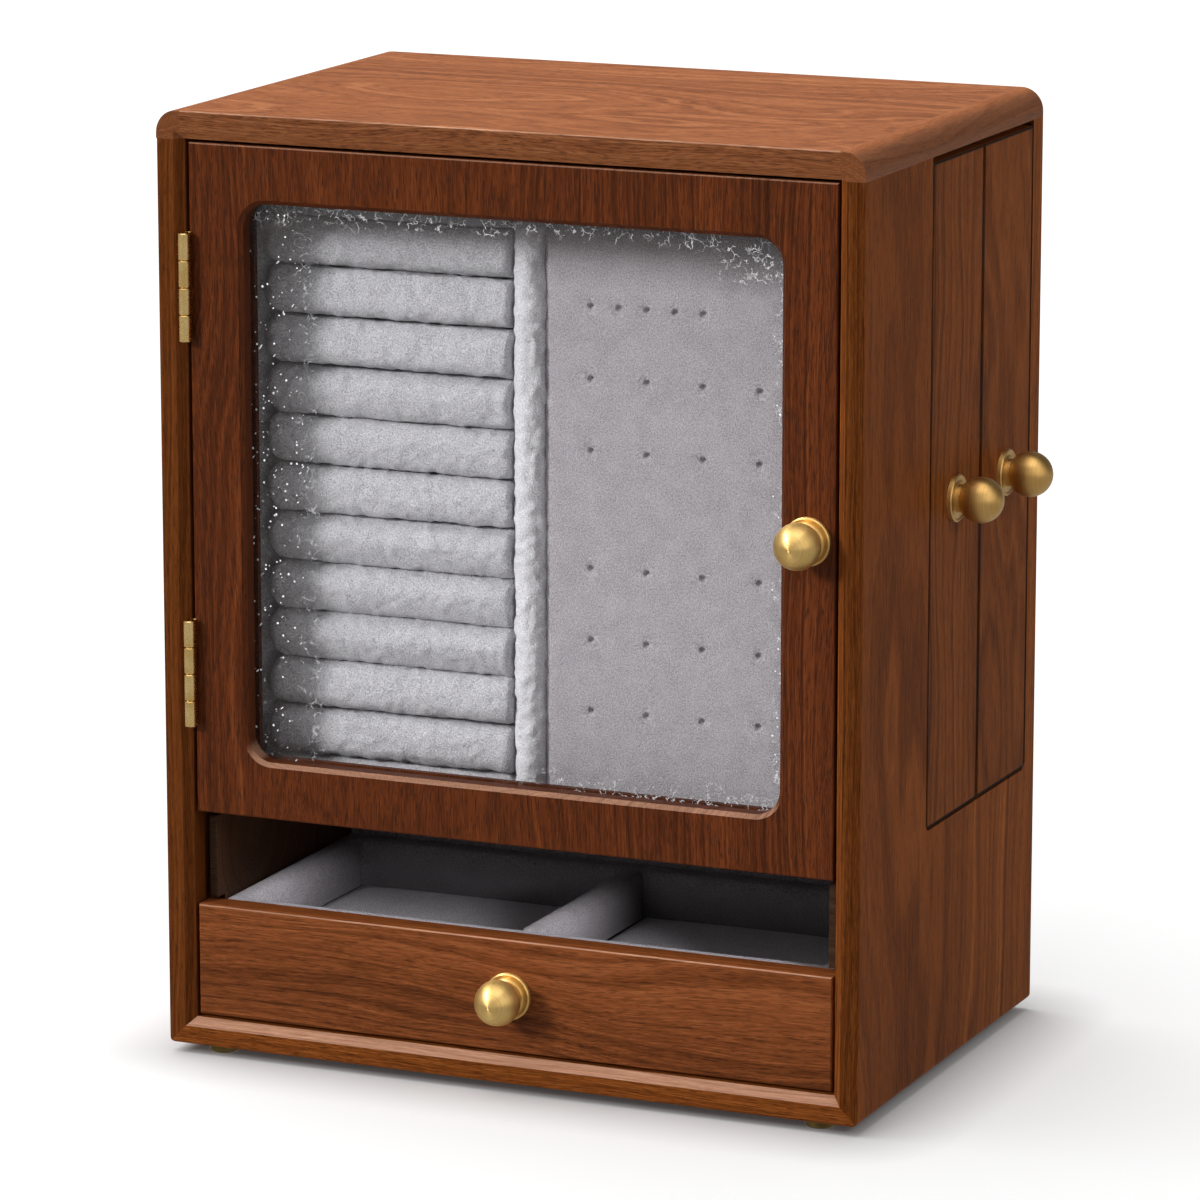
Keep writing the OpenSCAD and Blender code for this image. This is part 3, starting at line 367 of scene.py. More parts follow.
def brass(name, base, dark, roughness, turned=None, lines=0.0):
    """Brass, turned or drawn and lacquered: a warm metal. On a turned knob the tool lines run
    round its axis, so its shine stretches into a wedge from the pole outwards."""
    material, tree = shade_tree(name)
    place = millimetres(tree)
    grit = add(tree, "ShaderNodeTexNoise", {"Vector": place, "Scale": 1 / 0.5, "Detail": 2.0})
    clouds = add(tree, "ShaderNodeTexNoise", {"Vector": place, "Scale": 1 / 5, "Detail": 2.0})
    inputs = {}
    if turned:
        inputs["Tangent"] = add(tree, "ShaderNodeTangent", direction_type="RADIAL", axis=turned)
        # Tool lines lie where the surface faces at one angle to the axis, 22 to a radian
        facing = add(tree, "ShaderNodeNewGeometry").outputs["Normal"]
        normal = add(tree, "ShaderNodeSeparateXYZ", (facing,)).outputs["XYZ".index(turned)]
        angle = add(tree, "ShaderNodeMath", (normal,), operation="ARCCOSINE")
        grooves = add(tree, "ShaderNodeTexNoise", {
            "W": add(tree, "ShaderNodeMath", (angle, 22.0), operation="MULTIPLY"),
            "Scale": 1.0, "Detail": 3.0}, noise_dimensions="1D")
        clouds = add(tree, "ShaderNodeMath", (
            add(tree, "ShaderNodeMath", (clouds, 0.3), operation="MULTIPLY"),
            add(tree, "ShaderNodeMath", (grooves, 0.7), operation="MULTIPLY")), operation="ADD")
    inputs["Base Color"] = add(tree, "ShaderNodeValToRGB", (clouds,),
                               stops=[(0.35, dark), (0.65, base)])
    inputs["Roughness"] = add(tree, "ShaderNodeMapRange", (
        grit, 0.3, 0.7, roughness - 0.04, roughness + 0.06), **SMOOTH)
    shader = finish_shader(tree, inputs)
    shader.inputs["Metallic"].default_value = 1.0
    shader.inputs["Anisotropic"].default_value = lines
    # A quarter turn: the shine spreads across the tool lines
    shader.inputs["Anisotropic Rotation"].default_value = 0.25
    return material


brass_knob = brass("brass_satin_turned", "#E6C27C", "#D2AB66", 0.38, "Y", 0.8)
brass_pull = brass("brass_satin_turned_side", "#D6AE6C", "#C29857", 0.40, "X", 0.6)
brass_hook = brass("brass_drawn_wire", "#CFAE70", "#BD9A5C", 0.3)
brass_hinge = brass("brass_polished", "#E3C384", "#D2AE6C", 0.22)
brass_foot = brass("brass_aged_foot", "#6E5A32", "#534325", 0.45)


def steel(name):
    """Zinc-plated steel: cool grey metal with a fine frosting."""
    material, tree = shade_tree(name)
    frost = add(tree, "ShaderNodeTexNoise", {"Vector": millimetres(tree), "Scale": 1 / 0.4})
    colour = add(tree, "ShaderNodeValToRGB", (frost,), stops=[(0.3, "#A9ACB0"), (0.7, "#C4C6C9")])
    rough = add(tree, "ShaderNodeMapRange", (frost, 0.3, 0.7, 0.28, 0.42), **SMOOTH)
    shader = finish_shader(tree, {"Base Color": colour, "Roughness": rough})
    shader.inputs["Metallic"].default_value = 1.0
    return material


steel_plated = steel("steel_zinc_plated")


def pane_glass():
    """Soda-lime glass, clear in the middle. Its margin carries painted glints, white dots, short
    slanting dashes and light squiggles, and painted shadow, a dark veil with dark veins, most of
    them along the left and the top."""
    material, tree = shade_tree("glass_margin_painted_glints_and_shadow")
    low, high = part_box("glass_pane")
    hidden = 4.7 * MM  # the pane's edge that the frame covers
    left, right = (low.x + hidden) / MM, (high.x - hidden) / MM
    bottom, top = (low.z + hidden) / MM, (high.z - hidden) / MM
    place = millimetres(tree)
    waves = add(tree, "ShaderNodeTexNoise", {"Vector": place, "Scale": 1 / 9, "Detail": 3.0})
    wave = add(tree, "ShaderNodeMath", (waves, 14.0), operation="MULTIPLY")
    spot = add(tree, "ShaderNodeSeparateXYZ", (place,)).outputs
    # Distances from the sides of what shows, waved, so that they are 7 mm too large on average
    waved = []
    for place_of, side in ((spot[0], left), (right, spot[0]), (top, spot[2]), (spot[2], bottom)):
        off = add(tree, "ShaderNodeMath", (place_of, side), operation="SUBTRACT")
        waved.append(add(tree, "ShaderNodeMath", (off, wave), operation="ADD"))
    from_left, from_right, from_top, from_bottom = waved
    left_band = add(tree, "ShaderNodeMapRange", (from_left, 20, 37, 1.0, 0.0), **SMOOTH)
    top_band = add(tree, "ShaderNodeMapRange", (from_top, 8, 19, 0.75, 0.0), **SMOOTH)
    near_right = add(tree, "ShaderNodeMapRange", (from_right, 24, 44, 0.65, 0.0), **SMOOTH)
    near_top = add(tree, "ShaderNodeMapRange", (from_top, 20, 30, 1.0, 0.0), **SMOOTH)
    corner = add(tree, "ShaderNodeMath", (near_right, near_top), operation="MULTIPLY")
    # A narrow chain of painted glints runs down the right side
    chain = add(tree, "ShaderNodeMapRange", (from_right, 10, 14, 1.0, 0.0), **SMOOTH)
    near_bottom = add(tree, "ShaderNodeMapRange", (from_bottom, 10, 20, 0.6, 0.0), **SMOOTH)
    rightwards = add(tree, "ShaderNodeMapRange", (from_left, 80, 140, 0.35, 1.0), **SMOOTH)
    low_rim = add(tree, "ShaderNodeMath", (near_bottom, rightwards), operation="MULTIPLY")
    thin = add(tree, "ShaderNodeMath", (chain, 0.6), operation="MULTIPLY")
    thin = add(tree, "ShaderNodeMath", (thin, low_rim), operation="MAXIMUM")
    density = add(tree, "ShaderNodeMath", (
        add(tree, "ShaderNodeMath", (left_band, top_band), operation="MAXIMUM"),
        add(tree, "ShaderNodeMath", (corner, thin), operation="MAXIMUM")), operation="MAXIMUM")

    def glint_specks(vector, extent, crowd, share, size):
        """Painted glints: white specks, one at most in each cell of the given extent in millimetres,
        in a share of the cells that follows crowd."""
        coords = add(tree, "ShaderNodeVectorMath", (vector, extent), operation="DIVIDE")
        cell = add(tree, "ShaderNodeTexVoronoi", {"Vector": coords, "Scale": 1.0}).outputs
        luck = add(tree, "ShaderNodeSeparateColor", (cell["Color"],))
        chance = add(tree, "ShaderNodeMath", (crowd, share), operation="MULTIPLY")
        bar = add(tree, "ShaderNodeMath", (1.0, chance), operation="SUBTRACT")
        reach = add(tree, "ShaderNodeMath", (luck, bar), operation="SUBTRACT")
        reach = add(tree, "ShaderNodeMath", (reach, size), operation="MULTIPLY")
        inside = add(tree, "ShaderNodeMath", (reach, cell["Distance"]), operation="SUBTRACT")
        return add(tree, "ShaderNodeMapRange", (inside, 0.0, 0.05), **SMOOTH)

    def cell_lines(extent, push, thin_end, thick_end):
        """Lines between cells of the given extent in millimetres, pushed out of shape."""
        coords = add(tree, "ShaderNodeVectorMath", (place, (extent,) * 3), operation="DIVIDE")
        coords = add(tree, "ShaderNodeVectorMath", (coords, push))
        edge = add(tree, "ShaderNodeTexVoronoi", {"Vector": coords, "Scale": 1.0},
                   feature="DISTANCE_TO_EDGE").outputs["Distance"]
        return add(tree, "ShaderNodeMapRange", (edge, thin_end, thick_end, 1.0, 0.0), **SMOOTH)

    speckled = add(tree, "ShaderNodeMath", (
        add(tree, "ShaderNodeMath", (left_band, chain), operation="MAXIMUM"),
        add(tree, "ShaderNodeMath", (density, 0.5), operation="MULTIPLY")), operation="MAXIMUM")
    dots = glint_specks(place, (2.2, 2.2, 2.2), speckled, 0.85, 0.27)
    slanted = millimetres(tree, (0, math.radians(-42), 0))
    bent = add(tree, "ShaderNodeTexNoise", {"Vector": place, "Scale": 1 / 2.5}).outputs["Color"]
    slanted = add(tree, "ShaderNodeVectorMath", (slanted, bent))
    dashes = glint_specks(slanted, (1.7, 1.7, 7.0), density, 0.36, 0.5)
    crooked = add(tree, "ShaderNodeTexNoise", {
        "Vector": place, "Scale": 1 / 5, "Detail": 3.0}).outputs["Color"]
    veins = cell_lines(8, crooked, 0.015, 0.05)
    veins = add(tree, "ShaderNodeMath", (veins, left_band), operation="MULTIPLY")
    # Painted glints as light squiggles: the same kind of line, finer and broken up
    squiggles = cell_lines(4.2, bent, 0.012, 0.05)
    broken = add(tree, "ShaderNodeTexNoise", {"Vector": place, "Scale": 1 / 3.1, "Detail": 2.0})
    crowded = add(tree, "ShaderNodeMath", (density, 0.12), operation="MULTIPLY")
    kept = add(tree, "ShaderNodeMath", (broken, crowded), operation="ADD")
    kept = add(tree, "ShaderNodeMapRange", (kept, 0.565, 0.64), **SMOOTH)
    squiggles = add(tree, "ShaderNodeMath", (squiggles, kept), operation="MULTIPLY")
    outside = add(tree, "ShaderNodeMath", (top_band, corner), operation="MAXIMUM")
    outside = add(tree, "ShaderNodeMath", (outside, thin), operation="MAXIMUM")
    outside = add(tree, "ShaderNodeMapRange", (outside, 0.1, 0.6, 0.0, 0.75), **SMOOTH)
    begun = add(tree, "ShaderNodeMapRange", (left_band, 0.05, 0.4, 0.0, 0.6), **SMOOTH)
    not_full = add(tree, "ShaderNodeMapRange", (left_band, 0.6, 0.95, 1.0, 0.0), **SMOOTH)
    edge_of_band = add(tree, "ShaderNodeMath", (begun, not_full), operation="MULTIPLY")
    outside = add(tree, "ShaderNodeMath", (outside, edge_of_band), operation="MAXIMUM")
    squiggles = add(tree, "ShaderNodeMath", (squiggles, outside), operation="MULTIPLY")
    # Only the front face carries the painted glints and shadow, so that nothing shows twice
    facing = add(tree, "ShaderNodeNewGeometry").outputs["Normal"]
    facing = add(tree, "ShaderNodeSeparateXYZ", (facing,)).outputs[1]
    front = add(tree, "ShaderNodeMapRange", (facing, -0.5, -0.9), **SMOOTH)
    # Painted glints: the dots, dashes and squiggles are drawn white on the front face
    white = add(tree, "ShaderNodeMath", (dots, dashes), operation="MAXIMUM")
    white = add(tree, "ShaderNodeMath", (white, squiggles), operation="MAXIMUM")
    white = add(tree, "ShaderNodeMath", (white, front), operation="MULTIPLY")
    # Painted shadow: a dark veil over the margin, with the dark veins in the left band, where the
    # frame's shade falls
    shadow_veil = add(tree, "ShaderNodeMath", (
        add(tree, "ShaderNodeMath", (density, 0.18), operation="MULTIPLY"),
        add(tree, "ShaderNodeMath", (veins, 0.15), operation="MULTIPLY")), operation="ADD")
    # Painted shadow of the top rail: the veil is darker along the upper rim
    below_top = add(tree, "ShaderNodeMath", (top, spot[2]), operation="SUBTRACT")
    top_rail_shadow = add(tree, "ShaderNodeMapRange", (below_top, 0, 28, 0.36, 0.0), **SMOOTH)
    shadow_veil = add(tree, "ShaderNodeMath", (shadow_veil, top_rail_shadow), operation="ADD")
    shadow_veil = add(tree, "ShaderNodeMath", (shadow_veil, front), operation="MULTIPLY")
    colour = add(tree, "ShaderNodeMix", {0: white, 6: srgb("#3A3635"), 7: srgb("#F4F4F6")},
                 data_type="RGBA").outputs[2]
    opacity = add(tree, "ShaderNodeMath", (
        add(tree, "ShaderNodeMath", (shadow_veil, 0.04), operation="MAXIMUM"),
        add(tree, "ShaderNodeMath", (white, 0.95), operation="MULTIPLY")), operation="MAXIMUM")
    shader = finish_shader(tree, {"Base Color": colour, "Alpha": opacity})
    shader.inputs["Roughness"].default_value = 0.03
    return material


glass_clear = pane_glass()

FINISH = {
    "top_panel": walnut_top, "top_lippings": walnut_lipping,
    "left_side": walnut_left, "right_side": walnut_side, "bottom_panel": walnut_bottom,
    "back_panel": walnut_back, "shelf": walnut_inner, "partition": walnut_inner_z,
    "bay_back": velvet_tray, "drawer_guides": walnut_liner, "feet": brass_foot,
    "ring_board": velvet_grey, "hinge_frame_leaves": brass_hinge, "hinge_pins": brass_hinge,
    "hinge_frame_screws": brass_hinge, "catch_block": walnut_inner, "catch_magnet": steel_plated,
    "pullout_guides": walnut_inner, "door_frame": walnut_door, "glass_pane": glass_clear,
    "glazing_beads": walnut_door, "hinge_door_leaves": brass_hinge, "hinge_door_screws": brass_hinge,
    "strike_plate": steel_plated, "door_knob": brass_knob, "door_knob_screw": steel_plated,
    "drawer_front": walnut_drawer, "drawer_side_walls": walnut_inner,
    "drawer_cross_walls": walnut_inner, "drawer_bottom": walnut_inner, "drawer_knob": brass_knob,
    "drawer_knob_screw": steel_plated,
    "pullout_1_front": walnut_pull, "pullout_2_front": walnut_pull,
    "pullout_1_frame": walnut_inner_z, "pullout_2_frame": walnut_inner_z,
    "pullout_1_hooks": brass_hook, "pullout_2_hooks": brass_hook,
    "pullout_1_knob": brass_pull, "pullout_2_knob": brass_pull,
    "pullout_1_screw": steel_plated, "pullout_2_screw": steel_plated,
}
for node_name, material in FINISH.items():
    mesh = nodes[node_name].data
    mesh.materials.clear()
    mesh.materials.append(material)


# Padded pieces

def new_piece(name, mesh, material):
    """A mesh object at the origin with one material and smooth faces."""
    piece = bpy.data.objects.new(name, mesh)
    bpy.context.scene.collection.objects.link(piece)
    mesh.materials.clear()
    mesh.materials.append(material)
    mesh.shade_smooth()
    return piece


def settle(piece):
    """Turns a piece with live modifiers into the plain mesh that they give."""
    bpy.context.view_layer.update()
    evaluated = piece.evaluated_get(bpy.context.evaluated_depsgraph_get())
    mesh = bpy.data.meshes.new_from_object(evaluated)
    piece.modifiers.clear()
    old = piece.data
    piece.data = mesh
    bpy.data.meshes.remove(old)
    return piece


def points_of(mesh):
    """The mesh's points as an array."""
    flat = np.empty(len(mesh.vertices) * 3)
    mesh.vertices.foreach_get("co", flat)
    return flat.reshape(-1, 3)


def set_points(mesh, points):
    """Moves the mesh's points to the places in an array."""
    mesh.vertices.foreach_set("co", points.ravel())
    mesh.update()


def remeshed(node, name, voxel, inset):
    """A closed, even mesh of a CAD solid, drawn in a little so that the stuffing can swell it."""
    mesh = nodes[node].data.copy()
    shell = bmesh.new()
    shell.from_mesh(mesh)
    bmesh.ops.remove_doubles(shell, verts=shell.verts, dist=1e-6)
    shell.to_mesh(mesh)
    shell.free()
    piece = new_piece(name, mesh, velvet_grey)
    modifier = piece.modifiers.new("even", "REMESH")
    modifier.mode = "VOXEL"
    modifier.voxel_size = voxel
    settle(piece)
    points = points_of(piece.data)
    normals = np.array([v.normal for v in piece.data.vertices])
    set_points(piece.data, points - normals * inset)
    return piece


STUFFING_FRAMES = 20


def stuff(piece, cap, held=None):
    """Blows the piece up as cloth under pressure. No point moves more than cap, and the
    points in held, the ones that are glued down, don't move."""
    if held is not None:
        group = piece.vertex_groups.new(name="glued")
        group.add([int(i) for i in np.flatnonzero(held)], 1.0, "REPLACE")
    before = points_of(piece.data)
    modifier = piece.modifiers.new("stuffing", "CLOTH")
    cloth = modifier.settings
    cloth.use_pressure = True
    cloth.uniform_pressure_force = 4.0
    cloth.effector_weights.gravity = 0
    cloth.mass = 0.2
    cloth.quality = 5
    cloth.tension_stiffness = cloth.compression_stiffness = 12
    cloth.shear_stiffness = 5
    cloth.bending_stiffness = 0.3
    if held is not None:
        cloth.vertex_group_mass = "glued"
    modifier.point_cache.frame_end = STUFFING_FRAMES
    scene = bpy.context.scene
    for step in range(1, STUFFING_FRAMES + 1):
        scene.frame_set(step)
    settle(piece)
    scene.frame_set(1)
    move = points_of(piece.data) - before
    length = np.linalg.norm(move, axis=1, keepdims=True)
    move *= np.minimum(1.0, cap / np.maximum(length, 1e-9))
    set_points(piece.data, before + move)
    return piece


def refine(piece):
    """One level of subdivision, kept in the mesh."""
    modifier = piece.modifiers.new("finer", "SUBSURF")
    modifier.levels = modifier.render_levels = 1
    settle(piece)
    piece.data.shade_smooth()
    return piece


def ruffle(piece, size, depth, seed=0.0):
    """Pushes the skin in and out by depth at most, in patches of the given size, as pile does."""
    points = points_of(piece.data)
    normals = np.array([v.normal for v in piece.data.vertices])
    shift = Vector((seed * 31.7, seed * 17.3, seed * 5.1))
    lift = np.array([noise.noise(Vector(p) / size + shift) for p in points])
    set_points(piece.data, points + normals * (lift * depth)[:, None])
    return piece


def from_faces(name, points, faces, material):
    """A piece from points in metres and faces, with its faces turned outwards."""
    mesh = bpy.data.meshes.new(name)
    mesh.from_pydata([tuple(p) for p in points], [], faces)
    shell = bmesh.new()
    shell.from_mesh(mesh)
    bmesh.ops.recalc_face_normals(shell, faces=shell.faces)
    shell.to_mesh(mesh)
    shell.free()
    return new_piece(name, mesh, material)


def padded_from_node(node, name, voxel, inset, cap, ruffles, material=velvet_grey):
    """One padded piece in the place of its CAD solid. The sizes are in millimetres."""
    piece = refine(stuff(remeshed(node, name, voxel * MM, inset * MM), cap * MM))
    for size, depth in ruffles:
        ruffle(piece, size * MM, depth * MM)
    piece.data.materials.clear()
    piece.data.materials.append(material)
    body = nodes[node]["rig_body"]
    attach(piece, body)
    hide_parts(node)
    return piece


# Patches in which the pile stands uneven: (size, depth) in millimetres
PILE = ((7.0, 0.4), (3.0, 0.55))
# A superellipse's exponent: 2 is a round roll, and more is squarer
SQUARENESS = 2.9
# How much taller a roll is drawn, so that it touches its neighbours
TOUCHING = 1.045


def stacked_rolls():
    """All ring rolls. One roll is stuffed, and a Geometry Nodes tree stacks it in the twelve
    places with a small turn each."""
    model = remeshed(ROLLS[0], "ring_roll_model", voxel=1.7 * MM, inset=0.35 * MM)
    stuff(model, cap=0.45 * MM)
    low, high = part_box(ROLLS[0])
    centre = (low + high) / 2
    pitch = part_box(ROLLS[1])[0].z - low.z
    points = points_of(model.data) - np.array(centre)
    # Neighbours press a roll a little square and touch it, so that their seam is a thin crease
    round_part = np.maximum(np.linalg.norm(points[:, 1:], axis=1, keepdims=True), 1e-9)
    square_part = (np.abs(points[:, 1:] / round_part) ** SQUARENESS).sum(axis=1, keepdims=True)
    points[:, 1:] /= square_part ** (1 / SQUARENESS)
    points[:, 2] *= TOUCHING
    set_points(model.data, points)
    refine(model)

    tree = bpy.data.node_groups.new("ring_roll_stack", "GeometryNodeTree")
    tree.interface.new_socket("Geometry", in_out="OUTPUT", socket_type="NodeSocketGeometry")
    for label, kind, value in (
        ("Count", "NodeSocketInt", len(ROLLS)), ("Pitch", "NodeSocketFloat", pitch),
        ("First roll", "NodeSocketVector", centre), ("Wobble", "NodeSocketFloat", 0.5),
        ("Roll", "NodeSocketObject", None), ("Cover", "NodeSocketMaterial", None)):
        socket = tree.interface.new_socket(label, in_out="INPUT", socket_type=kind)
        if value is not None:
            socket.default_value = value
    inlet = add(tree, "NodeGroupInput").outputs
    step = add(tree, "ShaderNodeCombineXYZ", {"Z": inlet["Pitch"]})
    line = add(tree, "GeometryNodeMeshLine", {
        "Count": inlet["Count"], "Start Location": inlet["First roll"], "Offset": step})
    source = add(tree, "GeometryNodeObjectInfo", {"Object": inlet["Roll"]},
                 transform_space="ORIGINAL")
    turn = add(tree, "FunctionNodeRandomValue", {
        0: (-1, 0, 0), 1: (1, 0, 0), "Seed": SEED}, data_type="FLOAT_VECTOR")
    turn = add(tree, "ShaderNodeVectorMath", {0: turn, "Scale": inlet["Wobble"]},
               operation="SCALE")
    rolls = add(tree, "GeometryNodeInstanceOnPoints", {
        "Points": line, "Instance": source.outputs["Geometry"], "Rotation": turn})
    solid = add(tree, "GeometryNodeRealizeInstances", {"Geometry": rolls})
    covered = add(tree, "GeometryNodeSetMaterial", {"Geometry": solid, "Material": inlet["Cover"]})
    add(tree, "NodeGroupOutput", (covered,))

    piece = new_piece("ring_rolls", bpy.data.meshes.new("ring_rolls"), velvet_rolls)
    modifier = piece.modifiers.new("stack", "NODES")
    modifier.node_group = tree
    given = {"Roll": model, "Cover": velvet_rolls}
    for item in tree.interface.items_tree:
        if item.item_type == "SOCKET" and item.in_out == "INPUT" and item.name in given:
            modifier[item.identifier] = given[item.name]
    settle(piece)
    bpy.data.objects.remove(model)
    piece.data.shade_smooth()
    for seed, (size, depth) in enumerate(PILE):
        ruffle(piece, size * MM, depth * MM, seed)
    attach(piece, "carcass")
    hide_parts(*ROLLS)
    return piece


stacked_rolls()
padded_from_node("ring_border", "ring_border_pad", voxel=2.6, inset=0.35, cap=0.5, ruffles=PILE)
padded_from_node("centre_bolster", "centre_bolster_pad", voxel=1.6, inset=0.35, cap=0.5,
                 ruffles=((8.0, 0.3), (2.8, 0.7)), material=velvet_bolster)
padded_from_node("drawer_divider", "drawer_divider_pad", voxel=1.6, inset=0.3, cap=0.4,
                 ruffles=((5.0, 0.12),), material=velvet_lining)


def earring_panel():
    """The earring board as a foam panel in velvet, with a soft dimple round each hole. Its
    front is a grid whose lines crowd together at the holes."""
    low, high = limits("earring_board")
    pitch_x, pitch_z = 20.7, 25.0
    first_x, first_z, group = low.x + 17.2, low.z + 38.8, 91.0
    columns = [first_x + pitch_x * c for c in range(4)]
    rows = [first_z + pitch_z * r + g for g in (0, group) for r in range(3)]
    top_row = rows[-1]
    holes = [(x, z) for x in columns for z in rows[:-1]]
    holes += [(first_x + pitch_x * h / 2, top_row) for h in range(5)]

    def crowded(start, end, places):
        """Grid lines from start to end, 2.5 mm apart, and 0.4 mm apart near each place."""
        lines = set(np.round(np.linspace(start, end, int((end - start) / 2.5) + 1), 3))
        for p in places:
            lines = {v for v in lines if abs(v - p) > 3.8}
            lines |= set(np.round(np.linspace(p - 3.6, p + 3.6, 19), 3))
        return sorted(v for v in lines if start <= v <= end)

    xs = crowded(low.x, high.x, sorted({x for x, _ in holes}))
    zs = crowded(low.z, high.z, sorted({z for _, z in holes}))
    centres = np.array(holes)
    front = []
    for z in zs:
        for x in xs:
            # A wide dimple, the hole in its middle, and an edge that is turned back
            near = np.hypot(centres[:, 0] - x, centres[:, 1] - z).min()
            dent = 0.55 * math.exp(-((near / 2.4) ** 2)) + 1.7 * math.exp(-((near / 0.95) ** 4))
            rim = min(x - low.x, high.x - x, z - low.z, high.z - z)
            dent += 0.8 * math.exp(-((rim / 1.2) ** 2))
            front.append(at(x, low.y + 0.1 + dent, z))
    width, count = len(xs), len(xs) * len(zs)
    faces = [(r * width + c, r * width + c + 1, (r + 1) * width + c + 1, (r + 1) * width + c)
             for r in range(len(zs) - 1) for c in range(width - 1)]
    ring = list(range(width))
    ring += [r * width + width - 1 for r in range(1, len(zs))]
    ring += [(len(zs) - 1) * width + c for c in range(width - 2, -1, -1)]
    ring += [r * width for r in range(len(zs) - 2, 0, -1)]
    back = [Vector((front[i].x, at(0, high.y, 0).y, front[i].z)) for i in ring]
    faces += [(ring[i], ring[(i + 1) % len(ring)], count + (i + 1) % len(ring), count + i)
              for i in range(len(ring))]
    faces.append([count + i for i in range(len(ring))])
    piece = from_faces("earring_panel", front + back, faces, velvet_board)
    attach(piece, "carcass")
    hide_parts("earring_board")
    return piece


earring_panel()


def tray_lining():
    """Padded velvet over the drawer's walls: a cushioned rim that rolls down into the tray. Each
    point of the profile is carried once round the tray."""
    outer = limits("drawer_lining")
    wall = limits("drawer_bottom")
    tray_y = limits("drawer_divider")
    thick = tray_y[0].y - wall[0].y
    rim, floor = outer[1].z, wall[1].z
    skin, turn_down = 0.55, 2.4
    # (share across the wall 0..1 or across the padding 1..2, height)
    profile = [(0.03, rim - skin), (0.0, rim - 0.25), (0.12, rim - 0.05), (0.4, rim), (0.75, rim)]
    for i in range(9):
        turn = math.radians(i * 90 / 8)
        profile.append((1.42 + 0.58 * math.sin(turn), rim - turn_down * (1 - math.cos(turn))))
    profile += [(2.0, rim - turn_down - (rim - turn_down - floor) * k / 9) for k in range(1, 10)]
    profile += [(1.5, floor), (1.02, floor)]
    profile += [(1.02, floor + (rim - skin - floor) * k / 4) for k in range(1, 5)]
    profile += [(0.5, rim - skin)]
    per_side = 46
    points, ring = [], 4 * per_side
    for share, z in profile:
        inset, padding = min(share, 1.0), max(share - 1, 0) * thick
        x0 = outer[0].x + inset * (wall[0].x - outer[0].x) + padding
        x1 = outer[1].x + inset * (wall[1].x - outer[1].x) - padding
        y0 = outer[0].y + inset * (wall[0].y - outer[0].y) + padding
        y1 = outer[1].y + inset * (wall[1].y - outer[1].y) - padding
        corners = [(x0, y0), (x1, y0), (x1, y1), (x0, y1)]
        for side in range(4):
            a, b = corners[side], corners[(side + 1) % 4]
            for k in range(per_side):
                t = k / per_side
                points.append(at(a[0] + (b[0] - a[0]) * t, a[1] + (b[1] - a[1]) * t, z))
    n = len(profile)
    faces = [(p * ring + k, p * ring + (k + 1) % ring, ((p + 1) % n) * ring + (k + 1) % ring,
              ((p + 1) % n) * ring + k) for p in range(n) for k in range(ring)]
    piece = from_faces("drawer_lining_pad", points, faces, velvet_lining)
    glued = [share < 0.05 or (share <= 1.02 and z < rim - 0.2) for share, z in profile]
    glued = np.repeat(glued, ring)
    stuff(piece, 0.35 * MM, held=glued)
    piece.data.shade_smooth()
    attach(piece, "drawer")
    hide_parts("drawer_lining")
    return piece


tray_lining()


def tray_floors():
    """The two padded floors of the drawer, each a crowned pad with drawn-in edges."""
    low, high = limits("drawer_pads")
    divider = limits("drawer_divider")
    gap = 0.2
    halves = [(low.x, divider[0].x - gap), (divider[1].x + gap, high.x)]
    points, faces, glued = [], [], []
    across, deep = 44, 34
    for x0, x1 in halves:
        first = len(points)
        for side in ("top", "bottom"):
            for j in range(deep + 1):
                for i in range(across + 1):
                    u, v = i / across, j / deep
                    # The edge is 1.2 mm thick, and 5 mm from it the pad has its full height
                    rim = min(min(u, 1 - u) * (x1 - x0), min(v, 1 - v) * (high.y - low.y))
                    top = low.z + 1.2 + (high.z - low.z - 1.5) * min(1.0, rim / 5.0) ** 0.5
                    z = top if side == "top" else low.z
                    points.append(at(x0 + (x1 - x0) * u, low.y + (high.y - low.y) * v, z))
                    glued.append(side == "bottom")
        width = across + 1
        sheet = width * (deep + 1)
        for base, flip in ((first, False), (first + sheet, True)):
            for j in range(deep):
                for i in range(across):
                    quad = (base + j * width + i, base + j * width + i + 1,
                            base + (j + 1) * width + i + 1, base + (j + 1) * width + i)
                    faces.append(quad[::-1] if flip else quad)
        ring = list(range(width)) + [j * width + across for j in range(1, deep + 1)]
        ring += [deep * width + i for i in range(across - 1, -1, -1)]
        ring += [j * width for j in range(deep - 1, 0, -1)]
        for a, b in zip(ring, ring[1:] + ring[:1]):
            faces.append((first + b, first + a, first + sheet + a, first + sheet + b))
    piece = from_faces("drawer_floor_pads", points, faces, velvet_tray)
    stuff(piece, 0.35 * MM, held=np.array(glued))
    refine(piece)
    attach(piece, "drawer")
    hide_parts("drawer_pads")
    return piece


tray_floors()


# Studio: camera, floor, backdrop and lamps

def camera_at_photograph():
    """The photograph's long lens, from the right and a little above."""
    data = bpy.data.cameras.new("camera")
    data.sensor_width = 36
    data.lens = 186.8
    data.clip_end = 20
    camera = bpy.data.objects.new("camera", data)
    camera.location = (0.84438, -1.95561, 0.62470)
    camera.rotation_euler = (math.radians(77.672), 0, math.radians(23.538))
    bpy.context.scene.collection.objects.link(camera)
    bpy.context.scene.camera = camera


def seen_directly(tree):
    """1 for rays from the camera and for what metal and glass show, and 0 for rays that light."""
    path = add(tree, "ShaderNodeLightPath").outputs
    shown = add(tree, "ShaderNodeMath", (path["Is Glossy Ray"], path["Is Transmission Ray"]),
                operation="MAXIMUM")
    return path["Is Camera Ray"], shown


